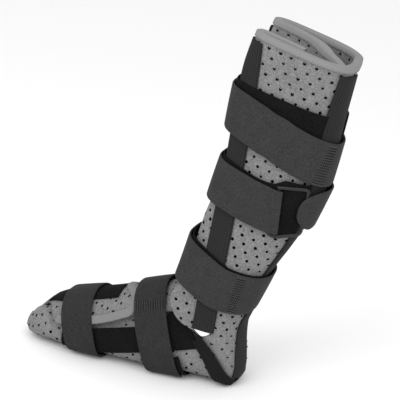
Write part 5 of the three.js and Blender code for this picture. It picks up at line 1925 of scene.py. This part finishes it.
    def foot_band(self, name: str, sole: float, top: float, table: Sequence[tuple[float, float]],
                  width: float, thickness: float, start: float, end: float, loop: bool, material: str,
                  slot: Slot, node: str, tab: float = 0.0, seed: float = 0.0) -> bpy.types.Object:
        """Builds one band round the foot.

        Args:
            name: the piece's name.
            sole: x of its middle under the sole.
            top: x of its middle over the top.
            table: angle and clearance pairs.
            width: band width.
            thickness: band thickness.
            start: first angle.
            end: last angle.
            loop: true for a closed band.
            material: finish name.
            slot: the record's slot.
            node: the solid it stands for.
            tab: length of its rounded end, or 0.
            seed: which set of small waves it has.

        Returns:
            The piece.
        """
        n = 120
        degs = np.linspace(start, end, n, endpoint=not loop)
        at, clear = zip(*table)
        levels = np.full(n, 4.0)
        for _ in range(5):
            sec = FOOT.at(levels)
            q, _y = Sections.outline(sec, degs)
            levels = FOOT.level_where(degs, 0, sole + (top - sole) * q / sec["length"])
        outs = np.interp(np.mod(degs, 360) if loop else degs, at, clear)
        outs = np.convolve(np.pad(outs, 3, mode="wrap" if loop else "edge"), np.ones(7) / 7, mode="valid")
        mid = FOOT.off(levels, degs, outs)
        up = FOOT.off(levels - 0.3, degs, outs) - FOOT.off(levels + 0.3, degs, outs)
        along = (np.roll(mid, -1, 0) - np.roll(mid, 1, 0)) if loop else np.gradient(mid, axis=0)
        sec = FOOT.at(levels)
        up, side = square_frames(along, up, mid - FOOT.place(sec, sec["length"] / 2, 0))
        widths = np.full(n, width)
        if tab:
            run = run_along(mid)
            into = np.clip(1 - (run[-1] - run) / tab, 0, 1)
            widths = width * np.sqrt(np.clip(1 - into ** 2.4 * 0.85, 0.02, 1))
        wave = wobble(degs * 0.05, np.full(n, seed), seed) * (np.array(mid)[:, 2] > 20)
        mid = mid + side * (0.3 * wave)[:, None]
        mid[:, 2] = np.maximum(mid[:, 2], thickness * 1.25)
        obj = swept(name, metres(mid), up, side, band_profile(0.05, 0.1, 11), widths * MM,
                    np.full(n, thickness * MM), loop)
        self.frames[name] = (degs, mid, up, side, widths, thickness)
        return dress(obj, self.finishes[material], slot, node)

    def foot_straps(self) -> None:
        """Builds the toe strap, the instep strap and its keeper."""
        under = SOLE_Z - STRAP
        toe = ((0, OVER_BAND), (40, OVER_FLAP), (95, OVER_FLAP), (135, OVER_BAND), (160, under), (200, under),
               (225, OVER_BAND), (360, OVER_BAND))
        self.foot_band("toe_foot_strap", -102, -124.5, toe, FOOT_STRAP_WIDTH, STRAP, 0, 360, True,
                       "foot_strap_cloth", Slot.STRAP, "toe_strap", seed=1.9)
        keeper = ((90, OVER_BAND), (135, OVER_BAND), (160, GAP), (200, GAP), (225, OVER_BAND),
                  (270, OVER_BAND))
        self.foot_band("instep_loop_keeper", 6, -33, keeper, FOOT_STRAP_WIDTH, KEEPER, 99, 261, False,
                       "loop_cloth", Slot.LOOP, "instep_keeper", seed=2.7)
        instep = ((-200, under), (-160, under), (-148, OVER_KEEPER * 0.85), (-135, OVER_KEEPER + SLACK / 2),
                  (-90, OVER_KEEPER + SLACK / 2), (-80, OVER_BAND), (0, OVER_BAND), (40, OVER_FLAP),
                  (85, OVER_FLAP), (99, OVER_KEEPER), (135, OVER_KEEPER), (148, OVER_KEEPER * 0.85),
                  (160, under), (200, under))
        self.foot_band("instep_foot_strap", -1, -33, instep, FOOT_STRAP_WIDTH, STRAP, -171, 162, False,
                       "foot_strap_cloth", Slot.STRAP, "instep_strap", tab=14.0, seed=3.7)


@dataclass
class Studio:
    """The floor, the soft light and the camera."""

    back: tuple[float, float, float] = (0.29236, -0.89978, 0.32392)
    right: tuple[float, float, float] = (0.92746, 0.34934, 0.13330)
    up: tuple[float, float, float] = (-0.23310, 0.26145, 0.93665)
    turn: float = 2.2
    distance: float = 1.5
    scale: float = 1.15
    pivot_x: float = 50.0
    aim_z: float = 207.5
    aim_rise: float = 1.85
    half_frame: float = 200.0
    sensor: float = 36.0
    floor_half: float = 6.0

    def camera(self) -> None:
        """Sets the camera at the photograph's angle."""
        t = math.radians(self.turn)
        spin = np.array([[math.cos(t), 0, math.sin(t)], [0, 1, 0], [-math.sin(t), 0, math.cos(t)]])
        back, right, up = spin @ self.back, spin @ self.right, spin @ self.up
        pivot = np.array([self.pivot_x, 0.0, 0.0])
        aim = spin @ (np.array([0.0, 0.0, self.aim_z]) - pivot)
        target = metres(pivot + aim + np.array([0.0, 0.0, self.aim_rise]))
        data = bpy.data.cameras.new("camera")
        camera = bpy.data.objects.new("camera", data)
        bpy.context.scene.collection.objects.link(camera)
        matrix = Matrix((
            (right[0], up[0], back[0], 0), (right[1], up[1], back[1], 0), (right[2], up[2], back[2], 0),
            (0, 0, 0, 1),
        ))
        place = Vector(target) + Vector(back) * self.distance
        camera.matrix_world = Matrix.Translation(place) @ matrix
        data.sensor_width = self.sensor
        data.lens = self.sensor * self.distance / (2 * self.half_frame * self.scale * MM)
        data.clip_start, data.clip_end = 0.05, 50.0
        bpy.context.scene.camera = camera

    def light(self, name: str, place: tuple[float, float, float], target: tuple[float, float, float],
              size: float, power_w: float) -> None:
        """Adds one square soft light.

        Args:
            name: the light's name.
            place: where it stands, in metres.
            target: what it points at.
            size: its side.
            power_w: its power, in watts.
        """
        data = bpy.data.lights.new(name, "AREA")
        data.shape, data.size, data.energy = "SQUARE", size, power_w
        lamp = bpy.data.objects.new(name, data)
        lamp.location = place
        lamp.rotation_mode = "QUATERNION"
        lamp.rotation_quaternion = (Vector(target) - Vector(place)).to_track_quat("-Z", "Y")
        bpy.context.scene.collection.objects.link(lamp)

    def build(self) -> None:
        """Builds the floor, the lights and the camera."""
        self.camera()
        half = self.floor_half
        corners = np.array([(-half, -half, 0), (half, -half, 0), (half, half, 0), (-half, half, 0)])
        floor = mesh_object("floor", corners, [(0, 1, 2, 3)])
        material = bpy.data.materials.new("pale_floor")
        material.use_nodes = True
        shader = material.node_tree.nodes["Principled BSDF"]
        shader.inputs["Base Color"].default_value = grey(0.86)
        shader.inputs["Roughness"].default_value = 0.9
        floor.data.materials.append(material)
        world = bpy.data.worlds.new("studio")
        world.use_nodes = True
        world.node_tree.nodes["Background"].inputs["Color"].default_value = grey(1.0)
        world.node_tree.nodes["Background"].inputs["Strength"].default_value = 1.05
        bpy.context.scene.world = world
        bpy.context.scene.view_settings.view_transform = "Standard"
        self.light("key", (-0.5, -1.4, 1.5), (0, 0, 0.2), 1.2, 16.0)
        self.light("fill", (1.2, -0.9, 0.9), (0, 0, 0.2), 1.2, 6.0)


def main() -> None:
    """Builds every piece in order."""
    logging.basicConfig(level=logging.INFO, format="%(message)s")
    Studio().build()
    finishes = Finishes()
    foam = FoamWraps(finishes)
    repeats = Repeats()
    foam.build_leg()
    foam.build_foot()
    foam.rim_binding()
    foam.foot_binding()
    Perforations(finishes, repeats, foam).build()
    Seams(finishes, repeats, foam).build()
    webbing = Webbing(finishes)
    webbing.stays()
    webbing.back()
    webbing.heel()
    webbing.foot_bands()
    webbing.top_strip()
    straps = Straps(finishes, repeats=repeats)
    straps.leg_straps()
    straps.ring()
    straps.foot_straps()
    straps.stitches()
    repeats.clear()


if __name__ == "__main__":
    main()
